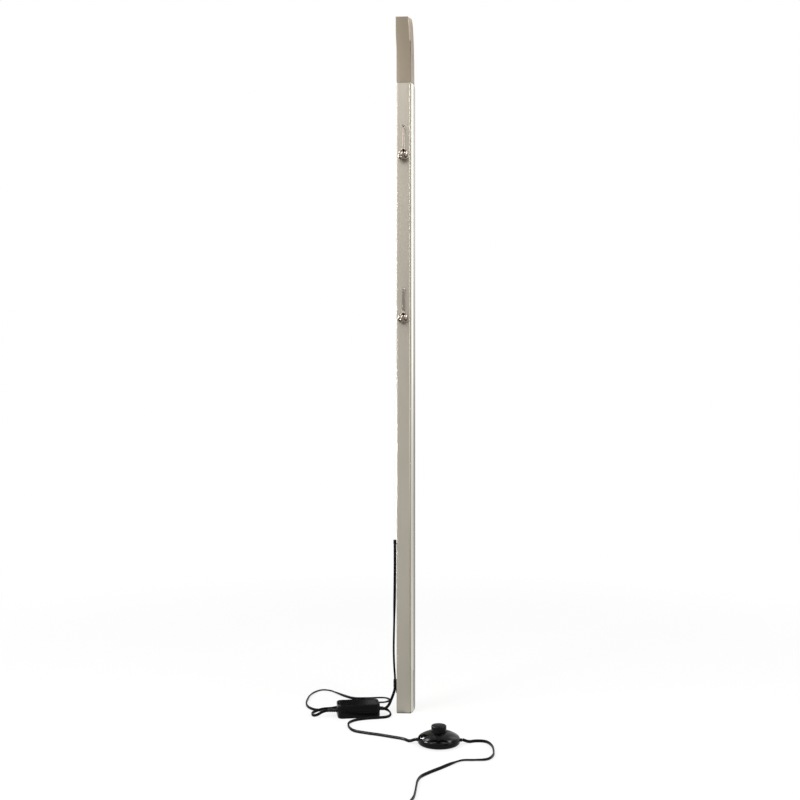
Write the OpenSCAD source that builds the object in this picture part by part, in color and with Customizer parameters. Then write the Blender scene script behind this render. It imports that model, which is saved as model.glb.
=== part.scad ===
// Slim torchiere floor lamp: an extruded column with a bulged side cover, a blade-like
// head that throws its light upwards, two pear drops hinged on the front face, and a
// low-voltage lead that runs to a driver box, a foot switch and a mains plug.
// Millimetres, +Z up, -Y is the front, origin at the middle of the foot on the floor.

/* [Column] */
// Overall height of the lamp
lamp_h = 1395; // [1200:5:1600]
// Width of the column, seen from the front
col_w = 36; // [34:0.5:42]
// Depth of the column, front to back
col_d = 50; // [46:1:60]
// Wall of the column, its side cover and the head
wall = 2; // [1.6:0.1:2.4]
// Width of the bulged side cover, seen from the front
cover_w = 7.2; // [6:0.1:9]
// Depth behind the front face at which the bulge reaches its full width
bulge_d = 35; // [30:1:42]
// Width of the groove between the front face and the side cover
groove_w = 0.8; // [0.4:0.1:1.2]
// Depth of the groove
groove_d = 5; // [4:0.5:8]
// Radius of the column's left corners
edge_r = 1.5; // [0.8:0.1:2.5]
// Thickness of the polished plate that closes the top of the column
top_plate_t = 1.5; // [1:0.1:3]

/* [Foot] */
// Thickness of the rubber pad under the foot
pad_t = 1.5; // [1:0.1:3]
// How far the pad stays inside the outline
pad_inset = 1; // [0.5:0.1:2]
// Height of the plug that closes the bottom of the column
plug_h = 25; // [20:1:40]
// Height of the steel ballast bar
ballast_h = 200; // [120:5:260]

/* [Head] */
// Height of the head above the column
head_h = 129; // [110:1:160]
// Depth of the head where it meets the column
head_d = 30; // [27:0.5:34]
// How far the head's right side stays inside the column's
head_step = 1; // [0:0.1:2]
// How far the top of the head leans forward
head_lean = 10; // [6:0.5:14]
// How far the back of the head comes forward at the top
head_taper = 20; // [14:0.5:24]
// Radius of the rounded top corner at the back
head_corner_r = 6; // [4:0.5:8]
// Height of the one-piece cap that holds the lens
cap_h = 44; // [36:1:56]
// Height of the shadow gap under the head
neck_h = 1.5; // [1:0.1:3]
// Thickness of the lens
lens_t = 3; // [2:0.5:4]

/* [Pear drops] */
// Distance from the column's top down to the upper drop's hinge pin
upper_drop_down = 87.5; // [80:0.5:160]
// Distance from the column's top down to the lower drop's hinge pin
lower_drop_down = 413.5; // [300:0.5:700]
// Length of a drop from its pin to its tip
drop_len = 70; // [60:1:90]
// Diameter of the bob
bob_d = 21.5; // [16:0.5:24]
// Gap between the hanging bob and the front face
bob_gap = 1.5; // [1.2:0.1:3]
// Diameter of the hinge pin
pin_d = 1.8; // [1.4:0.1:2.2]
// Length of the hinge pin
pin_len = 6; // [5.6:0.1:8]
// Diameter of the stem at the top
stem_top_d = 3; // [2.6:0.1:3.6]
// Diameter of the stem where it runs into the bob
stem_low_d = 4.4; // [3.6:0.1:5.4]
// Diameter of the post that carries the pin
post_d = 4; // [3.6:0.2:6]
// Thread diameter of the post's stud
stud_d = 3; // [2.5:0.5:4]

/* [Leads] */
// Width of the flat twin lead
cord_w = 5.6; // [5:0.1:6.4]
// Thickness of the flat twin lead
cord_t = 3.2; // [2.6:0.1:3.6]
// Height of the cord outlet on the left side
gland_z = 341; // [300:1:400]
// Diameter of the round lead inside the column
inner_lead_d = 4.4; // [3.5:0.1:5.5]
// Mean diameter of the stored coil
coil_mean_d = 62; // [56:1:68]

/* [Driver box] */
// Length of the driver box
driver_l = 84; // [76:1:100]
// Depth of the driver box
driver_d = 44; // [38:1:54]
// Height of the driver box
driver_h = 26; // [22:1:32]
// Corner radius of the driver box
driver_r = 10; // [3:0.5:11]
// Wall of the driver box
driver_wall = 1.8; // [1.4:0.1:2.2]
// Length of the driver's strain relief on the lamp side
lamp_relief_len = 20; // [14:1:30]
// Length of the driver's strain relief on the mains side
mains_relief_len = 8; // [6:0.5:14]

/* [Foot switch] */
// Diameter of the foot switch at its rim
switch_d = 78; // [72:1:85]
// Height of the rim above the floor
rim_z = 8.5; // [7:0.5:11]
// Height of the dome's top above the floor
dome_z = 23; // [20:0.5:26]
// Diameter of the rubber pad under the foot switch
switch_pad_d = 52; // [44:1:58]
// Diameter of the button
button_d = 28; // [22:1:30]
// Height of the button's top above the floor
button_z = 35; // [32:0.5:38]
// Travel of the button
button_stroke = 3.5; // [2:0.5:4]
// Wall of the foot switch mouldings
switch_wall = 2; // [1.6:0.1:2.4]

/* [Plug] */
// Width of the plug body
plug_w = 24; // [20:1:30]
// Thickness of the plug body
plug_t = 14; // [12:0.5:18]
// Length of the plug body
plug_l = 30; // [26:1:38]
// Length of the blades
blade_l = 17; // [15:0.5:18]

/* [Hidden] */
$fn = 96;

eps = 0.01;            // overrun of a cutting solid
fit = 0.1;             // clearance of a seated piece
run_fit = 0.05;        // radial clearance of the hinge pins
free_gap = 0.3;        // clearance of a moving piece

// Column, derived
half_w = col_w / 2;
half_d = col_d / 2;
face_right = half_w - cover_w - groove_w;
bulge_r = (bulge_d * bulge_d + cover_w * cover_w) / (2 * cover_w);
bulge_y = -half_d + bulge_d;
lip_len = 9;
back_split = half_w - wall - groove_w;
col_top = lamp_h - head_h - top_plate_t;
head_base = lamp_h - head_h;
fill_left = -half_w + wall + fit;
fill_right = face_right - wall - fit;
fill_w = fill_right - fill_left;
fill_mid = (fill_left + fill_right) / 2;
fill_d = col_d - 2 * wall - 2 * fit;

// Head, derived
head_z0 = head_base + neck_h;
head_front_r = (head_h * head_h + head_lean * head_lean) / (2 * head_lean);
head_back_y = -half_d + head_d;
head_back_r = (head_h * head_h + head_taper * head_taper) / (2 * head_taper);
cap_z = lamp_h - cap_h;
spigot_h = 60;
spigot_z = head_base - spigot_h / 2;
spigot_top = spigot_z + spigot_h;
spigot_d = head_d - 2 * wall - 3;
spigot_y = -half_d + wall + fit;
sink_d = 8;
sink_y = spigot_y;
sink_inset = 2.2;
sink_w = fill_w - 2 * sink_inset;
led_screw_x = 7.2;
board_t = 1.6;
board_depth = 25;
lens_z = lamp_h - lens_t - 4;
board_z = lens_z - board_depth;
sink_h = board_z - spigot_top;
ledge_t = 2;
gasket_t = 0.8;

// Back screws
screw_d = 4;
screw_head_d = 7.5;
screw_head_t = 2.4;
screw_len = 12;
screw_x = fill_mid;
screw_zs = [pad_t + plug_h / 2, pad_t + plug_h + ballast_h / 2, spigot_z + 12];
head_screw_d = 3;
head_screw_z = spigot_top - 14;
head_screw_len = 11;

// Drops, derived
upper_drop_z = col_top - upper_drop_down;
lower_drop_z = col_top - lower_drop_down;
drop_x = -half_w + (half_w + face_right) / 2;
bob_r = bob_d / 2;
pin_y = -half_d - bob_gap - bob_r;
eye_t = 2;
eye_r = 2.4;
cheek_t = (pin_len - eye_t - 2 * free_gap - 0.4) / 2;
cheek_x = eye_t / 2 + free_gap;
fork_len = 6;
post_flange_d = 6;
post_flange_t = 1.2;
neck_len = 3.4;
stud_len = 5;
nut_t = 2.4;
nut_af = stud_d * 1.8;

// Leads
gland_drop = 4;
gland_w = 8;
gland_h = 8;
gland_out = 7.5;
gland_d = 6;
gland_end = wall + 4;
lead_x = -half_w - 4.5;
clip_z = 54;
clip_out = 7.5;
clip_w = 11;
clip_h = 14;
clip_tail = 13;
clip_tail_w = 4;
saddle_low_up = 226;
saddle_high_down = 156;
saddle_w = 10;
saddle_h = 8;
saddle_lip = 4;
saddle_low = gland_z + saddle_low_up;
saddle_high = spigot_z - saddle_high_down;
saddle_zs = [for (k = [0 : 3]) saddle_low + (saddle_high - saddle_low) * k / 3];
saddle_back = 6;
saddle_y = half_d - wall - saddle_back;
inner_rise = 76;
inner_top_down = 70;
inner_x = -4;
inner_y = sink_y + sink_d + inner_lead_d / 2 + 0.7;
coil_xy = [40, -562];
coil_turn_r = coil_mean_d / 2;
coil_band = 3 * (cord_t + 0.2);
coil_lift = 0.8;
coil_h = 2 * cord_w;
tie_t = coil_lift;
tie_w = 6;

// The lamp lead: out of the gland, down the column's left side, behind the driver box,
// round the big loop on the left, and back into the driver's left end
lamp_route = [
    [-22.5, 0, 337], [-22.5, 0, 290], [-23, 0, 235], [-24, 0, 180], [-25, 0, 125], [-24, 0, 90],
    [-22.5, 0, 66], [-22.5, 0, 45], [-25, -1, 34], [-30, -2.5, 21], [-36, -4, 9], [-46, -4.5, 2.4],
    [-62, -4, 1.6],
    [-88, -7, 1.6], [-114, -12, 1.6], [-140, -17, 1.6], [-164, -20, 1.6], [-185, -15, 1.6],
    [-200, 3, 1.6], [-207, 28, 1.6], [-208, 56, 1.6], [-207, 84, 1.6], [-201, 112, 1.6],
    [-187, 131, 1.6], [-168, 127, 1.6], [-152, 108, 1.6], [-134, 86, 1.6], [-112, 68, 1.6],
    [-86, 68, 1.6], [-62, 78, 1.6], [-44, 76, 1.6], [-36, 60, 1.6], [-46, 46, 1.6], [-66, 42, 1.6],
    [-90, 34, 1.6], [-114, 20, 1.6], [-136, 6, 1.6], [-154, -8, 3.4], [-168, -19, 5],
    [-180, -30, 4], [-186, -42, 3], [-183, -53, 2.4], [-174, -58, 5], [-164, -55.4, 10],
    [-154.5, -51.8, 12]
];
// The switch lead: out of the driver's right end, round in front of it, to the foot switch
switch_route = [
    [-45, -30.5, 12], [-34, -33, 8], [-29, -45, 4], [-36, -58, 1.8], [-52, -64, 1.6], [-74, -70, 1.6],
    [-94, -80, 1.6], [-106, -97, 1.6], [-106, -120, 1.6], [-94, -146, 1.6], [-70, -159, 1.6],
    [-44, -169, 1.6], [-20, -180, 1.6], [2, -191, 1.6], [14, -203.5, 3.2], [24.5, -208.5, 7.5]
];
// The mains lead: from the foot switch, round a wide bend and away to the coil
mains_route = [
    [111.5, -206, 7.5], [122, -203, 3.4], [138, -197, 1.6], [155, -201, 1.6], [164, -222, 1.6],
    [166, -248, 1.6], [164, -274, 1.6], [153, -294, 1.6], [130, -298, 1.6], [108, -301, 1.6],
    [90, -320, 1.6], [72, -342, 1.6], [54, -363, 1.6], [40, -383, 1.6], [34.5, -403, 1.6],
    [33, -427, 1.6], [32, -451, 1.6], [30, -475, 1.6], [23, -501, 1.6], [12.5, -525, 2],
    [6.5, -543, 3], [5.5, -556, 4]
];
// From the coil to the plug
plug_route = [
    [74, -562, 9], [76, -546, 6], [81, -530, 2.4], [93, -519, 1.6], [107, -521, 3], [115, -531, 6],
    [118, -544, 7]
];
// The lead inside the column, from the gland to the light board
inner_route = [
    [-half_w + gland_end, 0, gland_z], [-7.5, 0, gland_z], [-2, 0, gland_z + 3], [1, 2, gland_z + 11],
    [1, 7, gland_z + 26], [-2, 13, gland_z + 46], [inner_x, saddle_y, gland_z + inner_rise],
    [inner_x, saddle_y, saddle_zs[0]], [inner_x, saddle_y, saddle_zs[1]], [inner_x, saddle_y, saddle_high],
    [inner_x, saddle_y, spigot_z - inner_top_down], [inner_x, 13, spigot_z - 56], [inner_x, 4, spigot_z - 38],
    [inner_x, -6, spigot_z - 22], [inner_x, inner_y, spigot_z - 5], [inner_x, inner_y, spigot_top],
    [inner_x, inner_y, board_z]
];

// Driver box, derived
driver_xy = [-94, -40];
capacitor_x = 15;
capacitor_ys = [-8, 4];
capacitor_d = 8;
capacitor_h = 14;
driver_turn = 11;
relief_z = 12;
relief_big_d = 9;
relief_small_d = 6.6;
split_z = driver_h / 2;
board_inset = 2;
boss_d = 6;
boss_x = driver_l / 2 - driver_r - 2;
boss_y = driver_d / 2 - driver_r - 2;
driver_screw_d = 3;

// Foot switch, derived
switch_xy = [68, -208];
switch_r = switch_d / 2;
sole_t = 1.5;
rim_roll = rim_z - sole_t;
roll_x = switch_r - rim_roll;
roll_end = 90 - 2 * atan((dome_z - rim_z - rim_roll) / roll_x);
dome_r = roll_x / cos(roll_end) + rim_roll;
button_r = button_d / 2;
collar_z = 17;
flange_t = 2;
flange_r = button_r + 1.5;
flange_top = collar_z - free_gap;
switch_screw_r = 22;
sleeve_d = 6.4;
module_w = 18;
module_z = sole_t + switch_wall;
module_top = flange_top - flange_t - button_stroke - 0.7;
spring_r = 5;
spring_wire = 1.2;
spring_turns = 5;
spring_top = button_z - switch_wall;

// Plug, derived
plug_xy = [118, -564];
plug_z = 7;
plug_relief_len = 20;
pin_pitch = 12.7;
blade_w = 6.4;
blade_t = 1.5;

// ---- helpers ----

function unit(v) = v / norm(v);

function heading(p, i) = unit(p[min(i + 1, len(p) - 1)] - p[max(i - 1, 0)]);

// The wide side of a flat lead lies level on the floor, and fore and aft where it hangs
function wide_way(t) = unit(cross(t, [-abs(t[2]), 0, 1 - abs(t[2])]));

// A closed tube with an oval section, swept along the points
module tube(p, w, t, sides) {
    ring = [for (k = [0 : sides - 1]) [w / 2 * cos(360 * k / sides), t / 2 * sin(360 * k / sides)]];
    count = len(p);
    corners = [
        for (i = [0 : count - 1])
            let (ahead = heading(p, i), side = wide_way(ahead), up = cross(side, ahead))
            for (c = ring) p[i] + side * c[0] + up * c[1]
    ];
    skin = [
        for (i = [0 : count - 2], k = [0 : sides - 1])
            let (a = i * sides + k, b = i * sides + (k + 1) % sides)
            [a, b, b + sides, a + sides]
    ];
    ends = [
        [for (k = [0 : sides - 1]) sides - 1 - k],
        [for (k = [0 : sides - 1]) (count - 1) * sides + k]
    ];
    polyhedron(points = corners, faces = concat(skin, ends), convexity = 8);
}

// The column's outline, brought in by a distance
module outline(inset = 0) {
    r = max(edge_r - inset, 0.2);
    intersection() {
        union() {
            for (y = [-half_d + inset + r, half_d - inset - r])
                translate([-half_w + inset + r, y]) circle(r);
            translate([-half_w + inset + r, -half_d + inset])
                square([col_w - 2 * inset - r, col_d - 2 * inset]);
            translate([-half_w + inset, -half_d + inset + r])
                square([col_w - 2 * inset, col_d - 2 * inset - 2 * r]);
        }
        union() {
            translate([half_w - bulge_r, bulge_y]) circle(bulge_r - inset, $fn = 360);
            translate([-col_w, bulge_y]) square([col_w + half_w - inset, col_d]);
        }
    }
}

// A pan-head screw that stands in -Y from its head's seat at the origin
module pan_screw(d, len, head_d, head_t) {
    socket_t = head_t / 2;
    rotate([90, 0, 0]) cylinder(d = d, h = len);
    rotate([-90, 0, 0]) difference() {
        cylinder(d = head_d, h = head_t);
        translate([0, 0, head_t - socket_t]) cylinder(d = head_d / 3, h = socket_t + 1, $fn = 6);
    }
}

// A block that fills the column's inside, left of the side cover
module fill_block(d, h) {
    translate([fill_left, -half_d + wall + fit, 0]) cube([fill_w, d, h]);
}

// ---- column ----

module column_channel() {
    color("#aca69b") difference() {
        translate([0, 0, pad_t]) linear_extrude(col_top - pad_t) {
            difference() {
                outline();
                outline(wall);
                translate([face_right, -col_d]) square([col_w, col_d + half_d - wall - eps]);
                translate([back_split, -col_d]) square([col_w, 2 * col_d]);
            }
            translate([face_right - wall, -half_d]) square([wall, lip_len]);
        }
        for (z = [upper_drop_z, lower_drop_z])
            translate([drop_x, -half_d - 1, z]) rotate([-90, 0, 0])
                cylinder(d = stud_d + 2 * fit, h = wall + 2);
        for (z = screw_zs)
            translate([screw_x, half_d - wall - 1, z]) rotate([-90, 0, 0])
                cylinder(d = screw_d + 2 * fit, h = wall + 2);
        translate([-half_w - 1, 0, gland_z]) rotate([0, 90, 0])
            cylinder(d = gland_d + 2 * fit, h = wall + 2);
    }
}

module column_side_cover() {
    leg_t = 2;
    color("#bdb8ae") translate([0, 0, pad_t]) linear_extrude(col_top - pad_t) {
        difference() {
            intersection() {
                outline();
                union() {
                    translate([face_right + groove_w, -half_d]) square([col_w, col_d - wall - fit]);
                    translate([back_split + groove_w, 0]) square([col_w, col_d]);
                }
            }
            outline(wall);
        }
        translate([face_right, -half_d + groove_d]) square([groove_w + 0.9 * wall, leg_t]);
        translate([face_right, half_d - wall - leg_t]) square([half_w - face_right - wall / 2, leg_t]);
    }
}

module column_top_plate() {
    color("#e4e0d6") translate([0, 0, col_top]) linear_extrude(top_plate_t) difference() {
        outline();
        translate([fill_left - fit, spigot_y - fit]) square([fill_w + 2 * fit, spigot_d + 2 * fit]);
    }
}

module head_spigot() {
    color("#8f8f8f") difference() {
        union() {
            translate([0, 0, spigot_z]) fill_block(spigot_d, spigot_h);
            translate([0, 0, spigot_z]) fill_block(fill_d, spigot_h / 2 - top_plate_t);
            translate([fill_left - 1, spigot_y - 1, head_base]) cube([fill_w + 2, spigot_d + 2, neck_h]);
        }
        translate([inner_x, inner_y, spigot_z - 1]) cylinder(d = inner_lead_d + 2, h = spigot_h + 2);
        translate([screw_x, half_d, screw_zs[2]]) rotate([90, 0, 0]) cylinder(d = screw_d, h = 16);
        translate([screw_x, head_back_y, head_screw_z]) rotate([90, 0, 0])
            cylinder(d = head_screw_d, h = head_screw_len + 1);
    }
}

// ---- foot ----

module foot_plug() {
    color("#3a3a3a") difference() {
        translate([0, 0, pad_t]) fill_block(fill_d, plug_h);
        translate([screw_x, half_d, screw_zs[0]]) rotate([90, 0, 0]) cylinder(d = screw_d, h = 16);
    }
}

module foot_pad() {
    color("#222222") linear_extrude(pad_t) outline(pad_inset);
}

module ballast_bar() {
    color("#707274") difference() {
        translate([0, 0, pad_t + plug_h]) fill_block(fill_d, ballast_h);
        translate([screw_x, half_d, screw_zs[1]]) rotate([90, 0, 0]) cylinder(d = screw_d, h = 16);
    }
}

module back_screws() {
    color("#c9c6c0") for (z = screw_zs) translate([screw_x, half_d, z])
        pan_screw(screw_d, screw_len, screw_head_d, screw_head_t);
}

// ---- leads inside and the outlet ----

module lead_saddles() {
    color("#f2f2ee") for (z = saddle_zs) difference() {
        translate([inner_x - saddle_w / 2, saddle_y - saddle_lip, z])
            cube([saddle_w, saddle_back + saddle_lip, saddle_h]);
        translate([inner_x, saddle_y, z - 1])
            cylinder(d = inner_lead_d + 2 * fit, h = saddle_h + 2);
    }
}

module inner_lead() {
    color("#d8d8d4") tube(inner_route, inner_lead_d, inner_lead_d, 10);
}

module cord_gland() {
    color("#151515") {
        translate([-half_w - gland_out, -gland_w / 2, gland_z - gland_drop])
            cube([gland_out, gland_w, gland_h]);
        translate([-half_w - 1, 0, gland_z]) rotate([0, 90, 0]) cylinder(d = gland_d, h = gland_end + 1);
    }
}

module gland_nut() {
    color("#202020") translate([-half_w + wall, 0, gland_z]) rotate([0, 90, 0]) difference() {
        cylinder(d = gland_d + 6, h = 3, $fn = 6);
        translate([0, 0, -1]) cylinder(d = gland_d, h = 5);
    }
}

// A saddle clip on the column's left side, with its strap's tail hanging down
module lead_clip() {
    color("#181818") translate([-half_w, 0, clip_z]) {
        difference() {
            translate([-clip_out, -clip_w / 2, -clip_h / 2]) cube([clip_out, clip_w, clip_h]);
            translate([lead_x + half_w - cord_t / 2, -cord_w / 2, -clip_h / 2 - 1])
                cube([cord_t, cord_w, clip_h + 2]);
        }
        translate([-2.2, -clip_tail_w / 2, -clip_h / 2 - clip_tail])
            cube([2.2, clip_tail_w, clip_tail + 1]);
    }
}

// ---- head ----

// The head's solid shape, brought in by a distance
module head_form(inset = 0) {
    intersection() {
        translate([0, 0, head_z0]) linear_extrude(lamp_h - head_z0) intersection() {
            translate([-half_w + inset, -col_d]) square([2 * col_w, 2 * col_d]);
            translate([half_w - head_step - bulge_r, bulge_y]) circle(bulge_r - inset, $fn = 360);
        }
        head_side_form(inset);
    }
}

// The head's side view, drawn across the whole width
module head_side_form(inset) {
    corner_y = -half_d + head_d - head_taper - head_corner_r;
    rotate([90, 0, 90]) translate([0, 0, -col_w]) linear_extrude(2 * col_w) difference() {
        intersection() {
            translate([-col_d, head_base]) square([col_d + head_back_y, head_h]);
            translate([head_back_y - head_back_r, head_base]) circle(head_back_r - inset, $fn = 1440);
        }
        translate([-half_d - head_front_r, head_base]) circle(head_front_r + inset, $fn = 1440);
        difference() {
            translate([corner_y, lamp_h - head_corner_r]) square(3 * head_corner_r);
            translate([corner_y, lamp_h - head_corner_r]) circle(head_corner_r - inset);
        }
    }
}

module head_shell(outer, inner) {
    difference() {
        head_form(outer);
        head_form(inner);
    }
}

// A level slice of the head's solid shape
module head_slice(inset, z, h) {
    intersection() {
        head_form(inset);
        translate([-col_w, -2 * col_d, z]) cube([4 * col_w, 4 * col_d, h]);
    }
}

module head_housing() {
    color("#9a8f80") difference() {
        head_shell(0, wall);
        translate([face_right, -2 * col_d, 0]) cube([col_w, 4 * col_d, 2 * lamp_h]);
        translate([-col_w, -2 * col_d, cap_z - groove_w / 2]) cube([4 * col_w, 4 * col_d, lamp_h]);
        translate([screw_x, 2 * head_d, head_screw_z]) rotate([90, 0, 0])
            cylinder(d = head_screw_d + 2 * fit, h = 2 * head_d);
    }
}

module head_screw() {
    color("#c9c6c0") translate([screw_x, head_back_y, head_screw_z])
        pan_screw(head_screw_d, head_screw_len, 2 * head_screw_d, 1.8);
}

// The strip on the head's right side, with a lip behind the groove
module head_side_cover() {
    lip = 1.2;
    color("#aaa294") difference() {
        union() {
            difference() {
                head_shell(0, wall);
                translate([-col_w + groove_w, -2 * col_d, 0])
                    cube([col_w + face_right, 4 * col_d, 2 * lamp_h]);
            }
            intersection() {
                head_shell(wall, wall + lip);
                translate([face_right - 2, -2 * col_d, 0]) cube([6, 4 * col_d, 2 * lamp_h]);
            }
        }
        translate([-col_w, -2 * col_d, cap_z - groove_w / 2]) cube([4 * col_w, 4 * col_d, lamp_h]);
    }
}

module head_cap() {
    lip_h = 6;
    lip_t = 1.2;
    color("#9c9182") difference() {
        union() {
            head_slice(0, cap_z, cap_h);
            intersection() {
                head_slice(wall + fit, cap_z - lip_h, lip_h + 1);
                translate([-col_w, -2 * col_d, 0]) cube([face_right - 2.2 + col_w, 4 * col_d, 2 * lamp_h]);
            }
        }
        difference() {
            head_form(wall);
            head_slice(wall - 1, cap_z, lip_h);
            head_slice(wall - 1, cap_z - lip_h - 1, lip_h + 1);
            head_slice(wall - 1, lens_z - gasket_t - ledge_t, ledge_t);
        }
        head_form(wall + fit + lip_t);
    }
}

module lens_gasket() {
    color("#303030") difference() {
        head_slice(wall + fit, lens_z - gasket_t, gasket_t);
        head_form(wall + 1.3);
    }
}

module led_lens() {
    color("#f4f3ee") head_slice(wall + fit, lens_z, lens_t);
}

module led_heat_sink() {
    fin_w = 2;
    color("#b9bcbe") difference() {
        translate([fill_left + sink_inset, sink_y, spigot_top]) cube([sink_w, sink_d, sink_h]);
        for (x = [fin_w : 2 * fin_w : sink_w - fin_w - eps])
            translate([fill_left + sink_inset + x, sink_y - 1, spigot_top - 1])
                cube([fin_w, sink_d - 2.5, sink_h - 6]);
        for (side = [-1, 1]) translate([fill_mid + side * led_screw_x, sink_y + sink_d / 2, board_z - 6])
            cylinder(d = 2, h = 7);
    }
}

module led_board() {
    color("#e9e9e4") difference() {
        translate([fill_left + sink_inset, sink_y, board_z]) cube([sink_w, sink_d + 5, board_t]);
        for (side = [-1, 1]) translate([fill_mid + side * led_screw_x, sink_y + sink_d / 2, board_z - 1])
            cylinder(d = 2 + 2 * fit, h = 4);
    }
}

module led_chips() {
    chip = 3;
    pitch = 3.6;
    color("#f5e27a") for (x = [-1 : 1])
        translate([fill_mid + x * pitch - chip / 2, sink_y + sink_d / 2 - chip / 2, board_z + board_t])
            cube([chip, chip, 0.8]);
}

module led_screws() {
    color("#c9c6c0") for (side = [-1, 1])
        translate([fill_mid + side * led_screw_x, sink_y + sink_d / 2, board_z + board_t]) {
            cylinder(d = 3.6, h = 1.2);
            translate([0, 0, -5.5]) cylinder(d = 2, h = 5.6);
        }
}

// ---- pear drops ----

// The post without its pin's bore
module post_blank(z) {
    tip = -half_d - pin_y - neck_len;
    color("#cfcac2") translate([drop_x, 0, z]) {
        translate([0, -half_d, 0]) rotate([90, 0, 0]) {
            cylinder(d = post_flange_d, h = post_flange_t);
            cylinder(d = post_d, h = tip);
            cylinder(d = eye_t - 0.3, h = tip + neck_len - eye_r / 2);
        }
        translate([0, -half_d + stud_len, 0]) rotate([90, 0, 0]) cylinder(d = stud_d, h = stud_len);
        translate([-eye_t / 2, pin_y, 0]) rotate([0, 90, 0]) cylinder(r = eye_r, h = eye_t);
    }
}

module drop_post(z) {
    difference() {
        post_blank(z);
        translate([drop_x - eye_t, pin_y, z]) rotate([0, 90, 0])
            cylinder(d = pin_d + 2 * run_fit, h = 2 * eye_t);
    }
}

module drop_nut(z) {
    color("#c2bdb2") translate([drop_x, -half_d + wall, z]) rotate([-90, 0, 0]) difference() {
        cylinder(d = nut_af / cos(30), h = nut_t, $fn = 6);
        translate([0, 0, -1]) cylinder(d = stud_d, h = nut_t + 2);
    }
}

module drop_pin(z) {
    color("#d6d2ca") translate([drop_x - pin_len / 2, pin_y, z]) rotate([0, 90, 0])
        cylinder(d = pin_d, h = pin_len);
}

module drop(z) {
    bob_z = bob_r - drop_len;
    neck_z = -drop_len + bob_d + 6.5;
    rise = neck_z - bob_z;
    lean = asin(bob_r / norm([rise, stem_low_d / 2])) - atan(stem_low_d / 2 / rise);
    color("#dcd8d0") translate([drop_x, pin_y, z]) difference() {
        union() {
            for (side = [-1, 1]) translate([side * (cheek_x + cheek_t / 2), 0, 0]) {
                rotate([0, 90, 0]) cylinder(r = eye_r, h = cheek_t, center = true);
                translate([-cheek_t / 2, -1.4, -fork_len]) cube([cheek_t, 2.8, fork_len]);
            }
            translate([-cheek_x - cheek_t, -1.4, -fork_len]) cube([2 * (cheek_x + cheek_t), 2.8, 2.4]);
            translate([0, 0, neck_z]) cylinder(d1 = stem_low_d, d2 = stem_top_d, h = -neck_z - fork_len + 1);
            translate([0, 0, bob_z]) sphere(bob_r);
            translate([0, 0, bob_z + bob_r * sin(lean)])
                cylinder(r1 = bob_r * cos(lean), d2 = stem_low_d, h = rise - bob_r * sin(lean));
        }
        translate([-pin_len, 0, 0]) rotate([0, 90, 0]) cylinder(d = pin_d, h = 2 * pin_len);
    }
}

module upper_drop_post() { drop_post(upper_drop_z); }
module upper_drop_nut() { drop_nut(upper_drop_z); }
module upper_drop_pin() { drop_pin(upper_drop_z); }
module upper_drop() { drop(upper_drop_z); }
module lower_drop_post() { drop_post(lower_drop_z); }
module lower_drop_nut() { drop_nut(lower_drop_z); }
module lower_drop_pin() { drop_pin(lower_drop_z); }
module lower_drop() { drop(lower_drop_z); }

// ---- driver box ----

// Places its children in the driver's own frame, where X runs along the box
module at_driver() {
    translate([driver_xy[0], driver_xy[1], 0]) rotate([0, 0, driver_turn]) children();
}

module driver_plan(inset) {
    r = driver_r - inset;
    l = driver_l / 2 - driver_r;
    d = driver_d / 2 - driver_r;
    for (x = [-l, l], y = [-d, d]) translate([x, y]) circle(r);
    square([2 * l, 2 * (d + r)], center = true);
    square([2 * (l + r), 2 * d], center = true);
}

// One half of the case: a tray that is open at the split
module driver_tray(z, floor_z) {
    difference() {
        translate([0, 0, z]) linear_extrude(split_z) driver_plan(0);
        translate([0, 0, floor_z]) linear_extrude(split_z - driver_wall + eps) driver_plan(driver_wall);
        for (side = [-1, 1]) translate([side * driver_l / 2, 0, relief_z]) rotate([0, 90, 0])
            cylinder(d = relief_big_d, h = 4 * driver_wall, center = true);
    }
}

module driver_lower_case() {
    color("#141414") at_driver() difference() {
        union() {
            driver_tray(0, driver_wall);
            for (x = [-boss_x, boss_x], y = [-boss_y, boss_y])
                translate([x, y, 0]) cylinder(d = boss_d, h = split_z);
        }
        for (x = [-boss_x, boss_x], y = [-boss_y, boss_y]) translate([x, y, -1]) {
            cylinder(d = driver_screw_d + 2 * fit, h = driver_h);
            cylinder(d = 5.4 + 2 * fit, h = 4);
        }
    }
}

module driver_upper_case() {
    color("#171717") at_driver() difference() {
        union() {
            driver_tray(split_z, split_z - eps);
            for (x = [-boss_x, boss_x], y = [-boss_y, boss_y])
                translate([x, y, split_z]) cylinder(d = boss_d, h = split_z - 1);
        }
        for (x = [-boss_x, boss_x], y = [-boss_y, boss_y])
            translate([x, y, split_z - 1]) cylinder(d = driver_screw_d, h = 8);
    }
}

module driver_screws() {
    color("#8d8a84") at_driver() for (x = [-boss_x, boss_x], y = [-boss_y, boss_y])
        translate([x, y, 1]) {
            cylinder(d = 5.4, h = 2);
            cylinder(d = driver_screw_d, h = split_z + 5);
        }
}

module driver_board() {
    color("#2e6b45") at_driver()
        translate([-driver_l / 2 + 16, -driver_d / 2 + driver_wall + board_inset, driver_wall])
            cube([driver_l - 32, driver_d - 2 * driver_wall - 2 * board_inset, board_t]);
}

module driver_transformer() {
    color("#c9a227") at_driver() translate([-18, -10, driver_wall + board_t]) {
        cube([20, 18, 14]);
        translate([-2, 3, 2]) cube([24, 12, 10]);
    }
}

module driver_capacitors() {
    color("#2b3a67") at_driver() for (y = capacitor_ys)
        translate([capacitor_x, y, driver_wall + board_t]) cylinder(d = capacitor_d, h = capacitor_h);
}

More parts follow.
